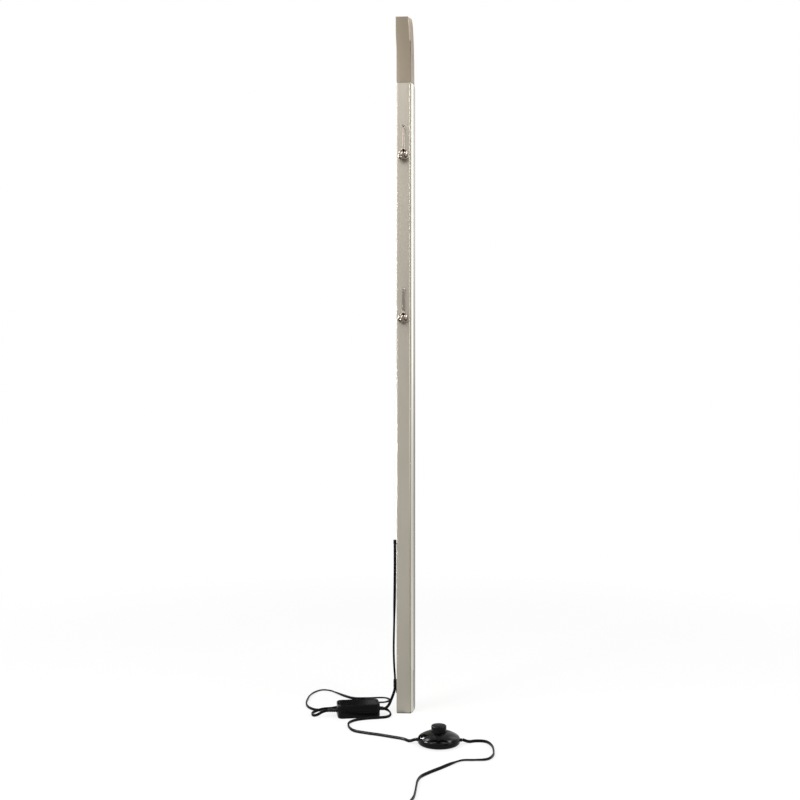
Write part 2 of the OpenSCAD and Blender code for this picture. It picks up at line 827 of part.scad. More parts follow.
// A tapered relief on one end of the driver, side is -1 for the left end
module driver_relief(side, len) {
    color("#101010") at_driver() translate([side * driver_l / 2, 0, relief_z])
        rotate([0, side * 90, 0]) difference() {
            union() {
                translate([0, 0, -driver_wall]) cylinder(d = relief_big_d, h = driver_wall);
                cylinder(d1 = relief_big_d, d2 = relief_small_d, h = len);
                translate([0, 0, -driver_wall - 2]) cylinder(d = relief_big_d + 3, h = 2);
            }
            translate([0, 0, -8]) cylinder(d = 3, h = 7);
        }
}

module driver_lamp_relief() { driver_relief(-1, lamp_relief_len); }
module driver_mains_relief() { driver_relief(1, mains_relief_len); }

// ---- foot switch ----

module at_switch() {
    translate([switch_xy[0], switch_xy[1], 0]) children();
}

// Half of the dome's section, brought in by a distance: a flat arc that rolls over into the rim
module dome_half(inset) {
    intersection() {
        translate([0, dome_z - dome_r]) circle(dome_r - inset, $fn = 360);
        union() {
            square([roll_x + (rim_roll - inset) * cos(roll_end), dome_z]);
            translate([roll_x, rim_z]) circle(rim_roll - inset);
        }
        translate([0, rim_z]) square([switch_r, dome_z]);
    }
}

// Half of the base's section, brought in by a distance
module base_half(inset) {
    intersection() {
        union() {
            translate([0, sole_t + inset]) square([roll_x, rim_z]);
            translate([roll_x, rim_z]) circle(rim_roll - inset);
        }
        square([switch_r, inset > 0 ? rim_z + eps : rim_z]);
    }
}

// The two sleeves at the rim, where the leads go in
module rim_sleeves(d) {
    for (side = [-1, 1]) translate([side * (switch_r - 5), 0, rim_z - 1]) rotate([0, side * 90, 0])
        cylinder(d = d, h = 9);
}

module at_switch_screws() {
    for (a = [30 : 120 : 270]) rotate([0, 0, a]) translate([switch_screw_r, 0, 0]) children();
}

module foot_switch_cover() {
    color("#121212") at_switch() difference() {
        union() {
            rotate_extrude() {
                difference() {
                    dome_half(0);
                    dome_half(switch_wall);
                    square([button_r + free_gap, button_z]);
                }
                translate([button_r + free_gap, collar_z])
                    square([switch_wall, dome_z - collar_z - switch_wall / 2 - 1]);
            }
            at_switch_screws() translate([0, 0, module_z]) cylinder(d = 7, h = rim_z + 10 - module_z);
        }
        rim_sleeves(sleeve_d);
        at_switch_screws() cylinder(d = 3, h = rim_z + 4);
    }
}

module foot_switch_base() {
    color("#101010") at_switch() difference() {
        rotate_extrude() base_half(0);
        rotate_extrude() base_half(switch_wall);
        rim_sleeves(sleeve_d);
        at_switch_screws() {
            cylinder(d = 3 + 2 * fit, h = rim_z);
            cylinder(d = 5 + 2 * fit, h = sole_t + 1.2);
        }
    }
}

module foot_switch_button() {
    color("#191919") at_switch() {
        difference() {
            union() {
                translate([0, 0, flange_top]) cylinder(r = button_r, h = button_z - flange_top);
                translate([0, 0, flange_top - flange_t]) cylinder(r = flange_r, h = flange_t);
            }
            cylinder(r = button_r - switch_wall, h = button_z - switch_wall);
        }
        translate([0, 0, module_top + button_stroke + free_gap])
            cylinder(d = 5, h = button_z - module_top - button_stroke - free_gap - 1);
    }
}

module foot_switch_spring() {
    steps = 14;
    rise = (spring_top - module_top - spring_wire) / (spring_turns * steps);
    color("#b8b8b4") at_switch() tube(
        [for (i = [0 : spring_turns * steps])
            [spring_r * cos(360 * i / steps), spring_r * sin(360 * i / steps),
                module_top + spring_wire / 2 + i * rise]],
        spring_wire, spring_wire, 6);
}

module foot_switch_module() {
    color("#e8e4da") at_switch() translate([-module_w / 2, -module_w / 2, module_z])
        cube([module_w, module_w, module_top - module_z]);
}

module foot_switch_screws() {
    color("#8d8a84") at_switch() at_switch_screws() translate([0, 0, sole_t]) {
        cylinder(d = 5, h = 1.2);
        cylinder(d = 3, h = 9);
    }
}

module foot_switch_pad() {
    color("#1c1c1c") at_switch() cylinder(d = switch_pad_d, h = sole_t);
}

module foot_switch_reliefs() {
    color("#0f0f0f") at_switch() rim_sleeves(sleeve_d);
}

// ---- free leads, coil and plug ----

module lamp_lead() {
    color("#0d0d0d") tube(lamp_route, cord_w, cord_t, 8);
}

module switch_lead() {
    color("#0d0d0d") tube(switch_route, cord_w, cord_t, 8);
}

module mains_lead() {
    color("#0d0d0d") {
        tube(mains_route, cord_w, cord_t, 8);
        tube(plug_route, cord_w, cord_t, 8);
    }
}

module mains_coil() {
    color("#0d0d0d") translate([coil_xy[0], coil_xy[1], coil_lift]) rotate_extrude()
        translate([coil_turn_r - coil_band / 2, 0]) square([coil_band, coil_h]);
}

module coil_tie() {
    color("#242424") translate([coil_xy[0], coil_xy[1] - coil_turn_r, coil_lift]) difference() {
        translate([-tie_w / 2, -coil_band / 2 - tie_t - 0.4, -tie_t])
            cube([tie_w, coil_band + 2 * tie_t + 0.8, coil_h + 2 * tie_t]);
        translate([0, coil_turn_r, 0]) rotate_extrude()
            translate([coil_turn_r - coil_band / 2, 0]) square([coil_band, coil_h]);
    }
}

module plug_body() {
    color("#0f0f0f") translate([plug_xy[0], plug_xy[1], plug_z]) rotate([90, 0, 0]) difference() {
        union() {
            translate([0, 0, -plug_relief_len]) cylinder(d1 = 6.4, d2 = 9, h = plug_relief_len + 1);
            hull() for (x = [-1, 1], y = [-1, 1]) {
                translate([x * plug_w / 4, y * plug_t / 4, 0]) cylinder(r = 1, h = 1, $fn = 8);
                translate([x * (plug_w / 2 - 2), y * (plug_t / 2 - 2), plug_l * 0.4])
                    cylinder(r = 2, h = plug_l * 0.6, $fn = 16);
            }
        }
        for (side = [-1, 1]) translate([side * pin_pitch / 2 - blade_t / 2, -blade_w / 2, plug_l - 6])
            cube([blade_t, blade_w, 7]);
    }
}

module plug_blades() {
    color("#c8b878") translate([plug_xy[0], plug_xy[1] - plug_l - blade_l, plug_z])
        for (side = [-1, 1]) difference() {
            translate([side * pin_pitch / 2 - blade_t / 2, 0, -blade_w / 2])
                cube([blade_t, blade_l + 6, blade_w]);
            translate([side * pin_pitch / 2 - blade_t, 4, 0]) rotate([0, 90, 0])
                cylinder(d = 3, h = 2 * blade_t);
        }
}

column_channel();
column_side_cover();
column_top_plate();
head_spigot();
foot_plug();
foot_pad();
ballast_bar();
back_screws();
lead_saddles();
inner_lead();
cord_gland();
gland_nut();
lead_clip();
head_housing();
head_side_cover();
head_cap();
lens_gasket();
led_lens();
led_board();
led_chips();
led_heat_sink();
led_screws();
head_screw();
upper_drop_post();
upper_drop_nut();
upper_drop_pin();
upper_drop();
lower_drop_post();
lower_drop_nut();
lower_drop_pin();
lower_drop();
driver_lower_case();
driver_upper_case();
driver_board();
driver_transformer();
driver_capacitors();
driver_screws();
driver_lamp_relief();
driver_mains_relief();
foot_switch_base();
foot_switch_cover();
foot_switch_button();
foot_switch_spring();
foot_switch_module();
foot_switch_screws();
foot_switch_pad();
foot_switch_reliefs();
lamp_lead();
switch_lead();
mains_lead();
mains_coil();
coil_tie();
plug_body();
plug_blades();
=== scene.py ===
"""A slim nickel floor lamp with two pear drops, and a driver box and foot switch on its lead."""

from math import asin, atan, cos, degrees, pi, radians, sin, sqrt

import bmesh
import bpy
from bpy.props import FloatProperty, FloatVectorProperty, PointerProperty
from bpy.types import Operator, Panel, PropertyGroup
from mathutils import Matrix, Vector


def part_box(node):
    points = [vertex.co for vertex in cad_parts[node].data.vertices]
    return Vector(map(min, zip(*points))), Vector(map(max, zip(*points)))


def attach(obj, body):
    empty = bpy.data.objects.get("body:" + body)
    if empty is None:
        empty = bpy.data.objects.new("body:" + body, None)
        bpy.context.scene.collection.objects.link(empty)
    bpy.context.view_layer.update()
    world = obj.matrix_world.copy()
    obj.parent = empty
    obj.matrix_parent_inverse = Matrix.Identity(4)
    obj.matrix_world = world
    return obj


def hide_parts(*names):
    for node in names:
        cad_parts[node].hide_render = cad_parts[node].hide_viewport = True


bl_info = {
    "name": "Slim floor lamp",
    "version": (1, 0, 0),
    "blender": (4, 5, 0),
    "location": "3D View > Sidebar > Lamp",
    "description": "Builds a slim metal floor lamp piece by piece round its packed frame",
    "category": "Add Mesh",
}

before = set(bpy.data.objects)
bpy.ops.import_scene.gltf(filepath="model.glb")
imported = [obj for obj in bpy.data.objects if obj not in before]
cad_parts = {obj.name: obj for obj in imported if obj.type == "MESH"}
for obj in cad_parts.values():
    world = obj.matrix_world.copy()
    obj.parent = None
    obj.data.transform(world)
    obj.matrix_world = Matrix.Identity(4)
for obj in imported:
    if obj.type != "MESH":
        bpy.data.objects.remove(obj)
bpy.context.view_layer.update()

# All modelling is in millimetres, and every finished mesh is brought to metres once
MM = 0.001


def box_mm(node):
    """The lowest and highest corner of a frame node, in millimetres."""
    low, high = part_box(node)
    return low / MM, high / MM


def middle(node):
    """The middle of a frame node's box, in millimetres."""
    low, high = box_mm(node)
    return (low + high) / 2


COLUMN_LOW, COLUMN_HIGH = box_mm("column_channel")
COVER_HIGH = box_mm("column_side_cover")[1]
HEAD_LOW, HEAD_HIGH = box_mm("head_housing")
LAMP_TOP = box_mm("head_cap")[1].z
HALF_DEPTH = COLUMN_HIGH.y
# The column's front face, and the hairline joint under the head's cap
FACE_WIDTH, CAP_JOINT = 27.2, 0.04
FACE_RIGHT = COLUMN_LOW.x + FACE_WIDTH
CAP_FOOT = HEAD_HIGH.z + CAP_JOINT


# ---- Sizes and colours

def length(name, description, millimetres, low=0.1, high=200.0):
    """A length that the user can change, given here in millimetres."""
    return FloatProperty(
        name=name, description=description, default=millimetres * MM,
        min=low * MM, max=high * MM, precision=5, subtype="DISTANCE", unit="LENGTH",
    )


def linear(hex_colour):
    """An sRGB hex colour as linear red, green, blue."""
    parts = [int(hex_colour[i:i + 2], 16) / 255 for i in (1, 3, 5)]
    return [p / 12.92 if p <= 0.04045 else ((p + 0.055) / 1.055) ** 2.4 for p in parts]


def tint(name, description, hex_colour):
    """A colour that the user can change, given here as sRGB hex."""
    return FloatVectorProperty(
        name=name, description=description, default=linear(hex_colour), size=3,
        min=0.0, max=1.0, subtype="COLOR",
    )


class LampSizes(PropertyGroup):
    """Sizes of the lamp's visible parts that the frame leaves open"""

    wall: length("Wall", "Wall of the column and head", 2.0)
    groove: length("Groove", "Width of the groove beside the side cover", 1.6)
    groove_depth: length("Groove depth", "Depth of the groove", 5.0)
    column_edge: length("Column edge", "Radius of the column's left corners", 1.5)
    bulge_from_front: length("Bulge", "How far behind the front face the cover is widest", 35.0)
    head_edge: length("Head edge", "Rounding of the head's sheet edges", 0.5)
    bob: length("Bob", "Diameter of a drop's bob", 21.5)
    stem: length("Stem", "Diameter of a drop's stem under the fork", 4.0)
    lead_width: length("Lead width", "Width of the flat twin lead", 5.6)
    lead_thickness: length("Lead thickness", "Thickness of the flat twin lead", 3.2)
    moulding_edge: length("Moulding edge", "Rounding of the black mouldings' edges", 0.8)
    driver_corner: length("Driver corner", "Corner radius of the driver box", 10.0)


class LampColours(PropertyGroup):
    """Colours of the lamp's finishes"""

    nickel: tint("Satin nickel", "Brushed plate on the column", "#aca69a")
    # Painted shade: the head's plate is the column's plate made darker and browner, for the shade
    # on its leaning faces
    head: tint("Head nickel", "Warmer, darker brushed plate on the head", "#8b8071")
    strip: tint("Polished strip", "Bright side cover", "#c8c3b4")
    chrome: tint("Chrome", "Mirror plate on the drops", "#7f756c")
    black: tint("Black moulding", "Glossy black of the driver box and foot switch", "#060607")
    jacket: tint("Lead jacket", "Black of the flat lead", "#060606")
    floor: tint("Floor", "Plain pale floor", "#f1f1f0")


def sizes():
    return bpy.context.scene.lamp_sizes


def colours():
    return bpy.context.scene.lamp_colours


def in_mm(*names):
    """One of the user's sizes, or several, in millimetres."""
    values = [getattr(sizes(), name) / MM for name in names]
    return values if len(values) > 1 else values[0]


# ---- Modelling helpers

# How a drawing's two numbers become a point at a level, and the axis that its arcs turn about
PLANES = {
    "X": (lambda a, b, level: (level, a, b), (1, 0, 0)),
    "Y": (lambda a, b, level: (a, level, b), (0, -1, 0)),
    "Z": (lambda a, b, level: (a, b, level), (0, 0, 1)),
}
# Vertices no further apart than this, in millimetres, are one
SEAM = 0.0005


def drawn(bm, plane, level, start, *strokes):
    """A chain of vertices. A stroke is a corner, or (centre, angle, steps) to turn about."""
    spot, axis = PLANES[plane]
    chain = [bm.verts.new(spot(*start, level))]
    for stroke in strokes:
        if len(stroke) == 2:
            chain.append(bm.verts.new(spot(*stroke, level)))
            bm.edges.new(chain[-2:])
            continue
        centre, angle, steps = stroke
        known = set(bm.verts)
        bmesh.ops.spin(
            bm, geom=[chain[-1]], cent=spot(*centre, level), axis=axis, angle=radians(angle),
            steps=steps, use_merge=False, use_duplicate=False,
        )
        chain += [v for v in bm.verts if v not in known]
    return chain


def prism(bm, plane, level, depth, *path):
    """A solid from an outline of strokes at a level, swept along its plane's axis."""
    face = bm.faces.new(drawn(bm, plane, level, *path))
    grown = bmesh.ops.extrude_face_region(bm, geom=[face], use_keep_orig=True)
    moved = [v for v in grown["geom"] if isinstance(v, bmesh.types.BMVert)]
    bmesh.ops.translate(bm, verts=moved, vec=depth * Vector(PLANES[plane][1]))


def turned(*path, steps):
    """A solid of revolution about Z, from a half section of (radius, height) strokes."""
    bm = bmesh.new()
    chain = drawn(bm, "Y", 0, *path)
    if chain[-1].co.x > 0.001:
        bm.edges.new((chain[-1], chain[0]))
    edges = dict.fromkeys(e for v in chain for e in v.link_edges)
    bmesh.ops.spin(
        bm, geom=[*chain, *edges], cent=(0, 0, 0), axis=(0, 0, 1), angle=2 * pi, steps=steps,
        use_merge=True, use_duplicate=False,
    )
    bmesh.ops.remove_doubles(bm, verts=bm.verts, dist=SEAM)
    return bm


def laid(place, angle, axis):
    """A turn about an axis, then a move to a place."""
    return Matrix.Translation(place) @ Matrix.Rotation(radians(angle), 4, axis)


def brick(bm, low, high):
    """A box between two corners."""
    low, high = Vector(low), Vector(high)
    made = bmesh.ops.create_cube(bm, size=1)["verts"]
    bmesh.ops.scale(bm, verts=made, vec=high - low)
    bmesh.ops.translate(bm, verts=made, vec=(low + high) / 2)
    return made


def edges_where(verts, test):
    """The edges among these vertices whose two ends pass a test."""
    kept = set(verts)
    found = dict.fromkeys(e for v in verts for e in v.link_edges)
    return [e for e in found if all(v in kept for v in e.verts) and test(*[v.co for v in e.verts])]


def round_edges(bm, edges, radius, segments=4):
    """Rounds some edges."""
    bmesh.ops.bevel(
        bm, geom=edges, offset=radius, offset_type="OFFSET", affect="EDGES", segments=segments,
        profile=0.5, material=-1, clamp_overlap=True,
    )


def upright(a, b):
    return abs(a.x - b.x) < 1e-4 and abs(a.y - b.y) < 1e-4


def join(bm, other, place=None):
    """Adds a solid made apart to another, once it is moved into place."""
    if place is not None:
        bmesh.ops.transform(other, matrix=place, verts=other.verts)
    mesh = bpy.data.meshes.new("joined")
    other.to_mesh(mesh)
    other.free()
    bm.from_mesh(mesh)
    bpy.data.meshes.remove(mesh)


def linked(bm, name):
    """Makes a shape an object of the scene."""
    mesh = bpy.data.meshes.new(name)
    bm.to_mesh(mesh)
    bm.free()
    made = bpy.data.objects.new(name, mesh)
    bpy.context.scene.collection.objects.link(made)
    return made


def finished(
    bm, name, slot, *nodes, finish=None, body="root", place=None, wall=0.0, edge=0.0, sharp=35,
):
    """Puts a shape in place in metres and makes it a piece that stands for its nodes."""
    bmesh.ops.remove_doubles(bm, verts=bm.verts, dist=SEAM)
    if place is not None:
        bmesh.ops.transform(bm, matrix=place, verts=bm.verts)
    if not wall:
        bmesh.ops.recalc_face_normals(bm, faces=bm.faces)
    bmesh.ops.scale(bm, vec=(MM, MM, MM), verts=bm.verts)
    piece = linked(bm, name)
    mesh = piece.data
    mesh.shade_smooth()
    mesh.materials.append(finish_of(finish or slot))
    if wall:
        shell = piece.modifiers.new("Wall", "SOLIDIFY")
        shell.thickness, shell.offset, shell.use_even_offset = wall * MM, -1, True
    if edge:
        rounded = piece.modifiers.new("Edges", "BEVEL")
        rounded.width, rounded.segments = edge * MM, 3
        rounded.limit_method, rounded.angle_limit = "ANGLE", radians(sharp)
        rounded.harden_normals = True
    else:
        mesh.set_sharp_from_angle(angle=radians(sharp))
    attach(piece, body)
    if nodes:
        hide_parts(*nodes)
    return piece


def paint(finish, *nodes):
    """Gives frame nodes that keep their shape a finish."""
    for node in nodes:
        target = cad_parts[node]
        if not target.material_slots:
            raise RuntimeError(f"{node} has no material slot")
        for place in target.material_slots:
            place.material = finish_of(finish)


# ---- Materials

# Nearly all of a noise pattern's values lie between these
NOISE_SPAN = (0.3, 0.7)


def add_node(tree, kind, links=None, inputs=None, **settings):
    """Adds a node with its settings, plain input values and links."""
    node = tree.nodes.new(kind)
    for key, value in settings.items():
        setattr(node, key, value)
    for key, value in (inputs or {}).items():
        node.inputs[key].default_value = value
    for key, source in (links or {}).items():
        tree.links.new(source, node.inputs[key])
    return node


def emptied(owner):
    """The node tree of a material or world, with nothing in it yet."""
    owner.use_nodes = True
    owner.node_tree.nodes.clear()
    return owner.node_tree


def own_space(tree):
    """Coordinates in the object's own space, in metres."""
    return add_node(tree, "ShaderNodeTexCoord").outputs["Object"]


def mapped(tree, value, start, end, low, high, **settings):
    """A value brought from the range between start and end to that between low and high."""
    return add_node(
        tree, "ShaderNodeMapRange", {"Value": value},
        {"From Min": start, "From Max": end, "To Min": low, "To Max": high}, **settings,
    ).outputs["Result"]


def reckoned(tree, operation, a, b):
    """Two values joined by a sum, product or the like."""
    return add_node(tree, "ShaderNodeMath", {0: a, 1: b}, operation=operation).outputs[0]


def mixed(tree, share, first, second):
    """Two shaders mixed, with a share of the second."""
    links = {0: share, 1: first.outputs[0], 2: second.outputs[0]}
    return add_node(tree, "ShaderNodeMixShader", links).outputs["Shader"]


def blank(name, colour, **shader_inputs):
    """A material with one surface shader, whose plain values are set on its own sockets."""
    material = bpy.data.materials.new(name)
    tree = emptied(material)
    values = {key.replace("_", " "): value for key, value in shader_inputs.items()}
    values["Base Color"] = (*colour, 1)
    shader = add_node(tree, "ShaderNodeBsdfPrincipled", inputs=values)
    add_node(tree, "ShaderNodeOutputMaterial", {"Surface": shader.outputs["BSDF"]})
    return material, tree, shader


def pattern(tree, size_mm, stretch=(1, 1, 1), detail=3.0):
    """Noise whose grain is about size_mm across, drawn out along an axis by stretch."""
    drawn_out = add_node(
        tree, "ShaderNodeMapping", {"Vector": own_space(tree)}, {"Scale": stretch},
    )
    return add_node(
        tree, "ShaderNodeTexNoise", {"Vector": drawn_out.outputs["Vector"]},
        {"Scale": 1 / (size_mm * MM), "Detail": detail, "Roughness": 0.55},
    )


def vary_colour(tree, shader, noise, colour, amount):
    """Lets the colour drift a little darker and lighter with a pattern."""
    shades = add_node(tree, "ShaderNodeValToRGB", {"Fac": noise.outputs["Fac"]})
    low, high = shades.color_ramp.elements
    low.position, high.position = NOISE_SPAN
    low.color = (*[c * (1 - amount) for c in colour], 1)
    high.color = (*[min(c * (1 + amount), 1) for c in colour], 1)
    tree.links.new(shades.outputs["Color"], shader.inputs["Base Color"])


def vary_roughness(tree, shader, noise, low, high):
    """Lets the gloss drift with a pattern."""
    spread = mapped(tree, noise.outputs["Fac"], *NOISE_SPAN, low, high)
    tree.links.new(spread, shader.inputs["Roughness"])


def raise_pattern(tree, shader, noise, height_mm, strength=0.5):
    """Makes a pattern stand out by a real height."""
    bump = add_node(
        tree, "ShaderNodeBump", {"Height": noise.outputs["Fac"]},
        {"Distance": height_mm * MM, "Strength": strength},
    )
    tree.links.new(bump.outputs["Normal"], shader.inputs["Normal"])


def brushed_metal(name, colour, roughness, lines_mm=0.35):
    """Plated sheet, brushed along the column: lines drawn out in Z and a soft, wide sheen."""
    material, tree, shader = blank(name, colour, Metallic=1.0, Roughness=roughness)
    # Real brush lines are about 0.05 mm apart, and are drawn wider here so that they show
    lines = pattern(tree, lines_mm, (1, 1, 0.01), 2)
    clouds = pattern(tree, 60, (1, 1, 0.5), 2)
    vary_colour(tree, shader, clouds, colour, 0.03)
    vary_roughness(tree, shader, lines, roughness - 0.04, roughness + 0.04)
    raise_pattern(tree, shader, lines, 0.01, 0.25)
    return material


def polished_metal(name, colour, roughness, smudge_mm=14):
    """Polished plate: a clean mirror with faint wiping marks in its gloss."""
    material, tree, shader = blank(name, colour, Metallic=1.0, Roughness=roughness)
    smudges = pattern(tree, smudge_mm, detail=4)
    vary_roughness(tree, shader, smudges, roughness, roughness + 0.04)
    vary_colour(tree, shader, smudges, colour, 0.015)
    return material


def raw_metal(name, colour, roughness, grain_mm=1.2):
    """Turned, pressed or plated small parts: dull, with a fine grain."""
    material, tree, shader = blank(name, colour, Metallic=1.0, Roughness=roughness)
    grain = pattern(tree, grain_mm)
    vary_colour(tree, shader, grain, colour, 0.08)
    vary_roughness(tree, shader, grain, roughness - 0.05, roughness + 0.08)
    raise_pattern(tree, shader, grain, 0.02, 0.3)
    return material


def moulded(name, colour, roughness, grain_mm=0.6, height_mm=0.01, shine=0.5):
    """Injection moulded plastic: a fine spark-eroded grain and a slight unevenness in the gloss."""
    material, tree, shader = blank(
        name, colour, Roughness=roughness, IOR=1.5, Specular_IOR_Level=shine,
    )
    grain = pattern(tree, grain_mm)
    sheen = pattern(tree, 22, detail=2)
    vary_colour(tree, shader, sheen, colour, 0.12)
    vary_roughness(tree, shader, sheen, roughness - 0.03, roughness + 0.05)
    raise_pattern(tree, shader, grain, height_mm, 0.35)
    return material


def make_finishes():
    """All finishes, by the name of the record's slot."""
    c = colours()
    return {
        # Satin nickel plate on extruded aluminium: warm grey with a soft, wide sheen
        "satin_nickel": brushed_metal("satin_nickel_plate", c.nickel, 0.36),
        # The same plate, painted darker and browner on the head's sheet housing, its strip and its
        # groove: painted shade for the head's forward lean
        "satin_head": brushed_metal("painted_shade_nickel_plate", c.head, 0.4),
        # Polished nickel on the side cover and top plate: a nearly clean mirror
        "polished_strip": polished_metal("polished_nickel_plate", c.strip, 0.1, 30),
        # Chrome plate on the turned brass drops: the clearest mirror on the lamp
        "chrome": polished_metal("chrome_plate", c.chrome, 0.03, 9),
        # Zinc die casting, as cast, for the spigot
        "zinc": raw_metal("zinc_die_casting", linear("#8f9192"), 0.45, 2),
        # Bright zinc plated steel screws and nuts
        "steel": raw_metal("zinc_plated_steel", linear("#b9b7b1"), 0.3, 0.8),
        # Glossy black ABS of the foot switch and outlet: deep black with clear highlights
        "black_moulding": moulded("glossy_black_abs", c.black, 0.12, 0.8, 0.004, 0.13),
        # Black polycarbonate driver case: satin, with a fine moulded grain
        "black_case": moulded("satin_black_polycarbonate", c.black, 0.26, 0.5, 0.02, 0.1),
        # Black rubber pads: matt and slightly grey
        "black_rubber": moulded("black_rubber", linear("#121212"), 0.7, 0.9, 0.05, 0.2),
        # Soft PVC jacket of the twin lead: black, with the slight waves of an extruded sleeve
        "cord_jacket": moulded("soft_pvc_jacket", c.jacket, 0.3, 3, 0.06, 0.1),
        # White nylon saddles and the switch module's case
        "white_nylon": moulded("white_nylon", linear("#e6e4dc"), 0.45),
        # Opal acrylic lens: milky, with a smooth face
        "lens_opal": opal("opal_acrylic", linear("#f2f1ec")),
        # Bare extruded aluminium heat sink: pale grey with drawing lines
        "aluminium": brushed_metal("extruded_aluminium", linear("#b4b7b9"), 0.38),
        # Glass epoxy board with green resist and copper tracks under it
        "circuit_board": board("green_resist_board", linear("#21573a"), linear("#2f7a4f")),
        # White resist on an aluminium core board
        "white_board": board("white_resist_board", linear("#e4e4de"), linear("#d6d4c8")),
        # Yellow phosphor silicone over the light chips
        "phosphor": moulded("phosphor_silicone", linear("#e6c94f"), 0.4, 0.5),
        # Yellow polyester winding tape on the transformer
        "winding_tape": moulded("polyester_tape", linear("#c29a2c"), 0.25, 4, 0.05),
        # Shrunk blue sleeve on the capacitors
        "capacitor_sleeve": moulded("shrunk_pvc_sleeve", linear("#27365f"), 0.22, 5, 0.03),
        # Nickel plated brass plug blades: pale, slightly yellow
        "nickel_brass": raw_metal("nickel_plated_brass", linear("#d0c9b4"), 0.22, 1),
    }


def opal(name, colour):
    """Milky acrylic: light goes a little way in and comes out soft."""
    material, tree, shader = blank(
        name, colour, Roughness=0.28, IOR=1.49, Subsurface_Weight=0.4, Subsurface_Scale=0.004,
    )
    clouds = pattern(tree, 9)
    vary_colour(tree, shader, clouds, colour, 0.02)
    vary_roughness(tree, shader, clouds, 0.24, 0.34)
    return material


def board(name, resist, track):
    """A printed board: resist with slightly raised tracks in straight runs."""
    material, tree, shader = blank(name, resist, Roughness=0.35, IOR=1.55)
    # Tracks about 1 mm wide
    runs = add_node(
        tree, "ShaderNodeTexBrick", {"Vector": own_space(tree)},
        {"Color1": (*resist, 1), "Color2": (*resist, 1), "Mortar": (*track, 1),
         "Scale": 1 / (6 * MM), "Mortar Size": 0.08, "Mortar Smooth": 0.1},
        offset=0.3,
    )
    tree.links.new(runs.outputs["Color"], shader.inputs["Base Color"])
    raise_pattern(tree, shader, runs, 0.05, 0.4)
    return material


FINISHES = {}


def finish_of(slot):
    """The finish for a slot, all of them made at the first call."""
    if not FINISHES:
        FINISHES.update(make_finishes())
    return FINISHES[slot]


# ---- Leads

# Routes of the flat twin lead, in millimetres as the frame's solids follow them. A point without
# a height lies on the floor
ON_FLOOR = 1.6
LAMP_ROUTE = [
    (-22.5, 0, 337), (-22.5, 0, 290), (-23, 0, 235), (-24, 0, 180), (-25, 0, 125), (-24, 0, 90),
    (-22.5, 0, 66), (-22.5, 0, 45), (-25, -1, 34), (-30, -2.5, 21), (-36, -4, 9), (-46, -4.5, 2.4),
    (-62, -4),
    (-88, -7), (-114, -12), (-140, -17), (-164, -20), (-185, -15),
    (-200, 3), (-207, 28), (-208, 56), (-207, 84), (-201, 112),
    (-187, 131), (-168, 127), (-152, 108), (-134, 86), (-112, 68),
    (-86, 68), (-62, 78), (-44, 76), (-36, 60), (-46, 46), (-66, 42),
    (-90, 34), (-114, 20), (-136, 6), (-154, -8, 3.4), (-168, -19, 5),
    (-180, -30, 4), (-186, -42, 3), (-183, -53, 2.4), (-174, -58, 5), (-164, -55.4, 10),
    (-154.5, -51.8, 12),
]
SWITCH_ROUTE = [
    (-45, -30.5, 12), (-34, -33, 8), (-29, -45, 4), (-36, -58, 1.8), (-52, -64), (-74, -70),
    (-94, -80), (-106, -97), (-106, -120), (-94, -146), (-70, -159),
    (-44, -169), (-20, -180), (2, -191), (14, -203.5, 3.2), (24.5, -208.5, 7.5),
]
MAINS_ROUTE = [
    (111.5, -206, 7.5), (122, -203, 3.4), (138, -197), (155, -201), (164, -222),
    (166, -248), (164, -274), (153, -294), (130, -298), (108, -301),
    (90, -320), (72, -342), (54, -363), (40, -383), (34.5, -403),
    (33, -427), (32, -451), (30, -475), (23, -501), (12.5, -525, 2), (6.2, -546, 3.3),
]
PLUG_ROUTE = [
    (76, -546, 6), (81, -530, 2.4), (93, -519), (107, -521, 3), (115, -531, 6), (118, -544, 7),
]
# How the flat lead rolls about its own length: after so many route points, by so many degrees.
# At 0 it lies flat, and at 90 it stands on its edge
LAMP_ROLLS = (
    (2, 90), (3, 25), (6.3, 25), (7.4, 90), (20, 90), (22, 163), (24, 163), (26.5, 90), (27.5, 90),
    (29, 163), (30, 163), (32, 197), (34, 197), (36, 270),
)
SWITCH_ROLLS = ((8, 90), (10, 60))
# The mains lead lies nearly flat once, then stands on its edge as far as the coil's end
MAINS_ROLLS = ((6, 90), (8, 30), (9.3, 30), (10.6, 105), (12.6, 105), (13.5, 90))
# The coil's middle, its outer radius and the step between its rows, and its two layers' heights
COIL_AT = (40, -562)
COIL_RADIUS, COIL_ROW = 34.4, 3.4
COIL_LOW, COIL_HIGH = 3.6, 9.2
# In degrees: where the coil starts, ends and climbs, and how long stepping a row and climbing take
COIL_START, COIL_END, COIL_RISE, COIL_STEP, COIL_CLIMB = 170, 2160, 1105, 70, 60


def eased(value, start, end):
    """From 0 at start to 1 at end, with soft ends."""
    t = min(max((value - start) / (end - start), 0), 1)
    return t * t * (3 - 2 * t)


def rows_stepped(angle, start):
    """Rows that the coil has stepped since a start: one at the end of each of two turns."""
    return sum(eased(angle, start + turn - COIL_STEP, start + turn) for turn in (360, 720))


def coil_route():
    """Six turns in two layers: rows step in, the lead climbs, and the rows step out again."""
    points = []
    for angle in range(COIL_START, COIL_END + 1, 10):
        row = rows_stepped(angle, COIL_START) - rows_stepped(angle, COIL_RISE)
        radius = COIL_RADIUS - COIL_ROW * row
        climb = eased(angle, COIL_RISE, COIL_RISE + COIL_CLIMB)
        level = COIL_LOW + (COIL_HIGH - COIL_LOW) * climb
        a = radians(angle)
        points.append((COIL_AT[0] + radius * cos(a), COIL_AT[1] + radius * sin(a), level))
    return points


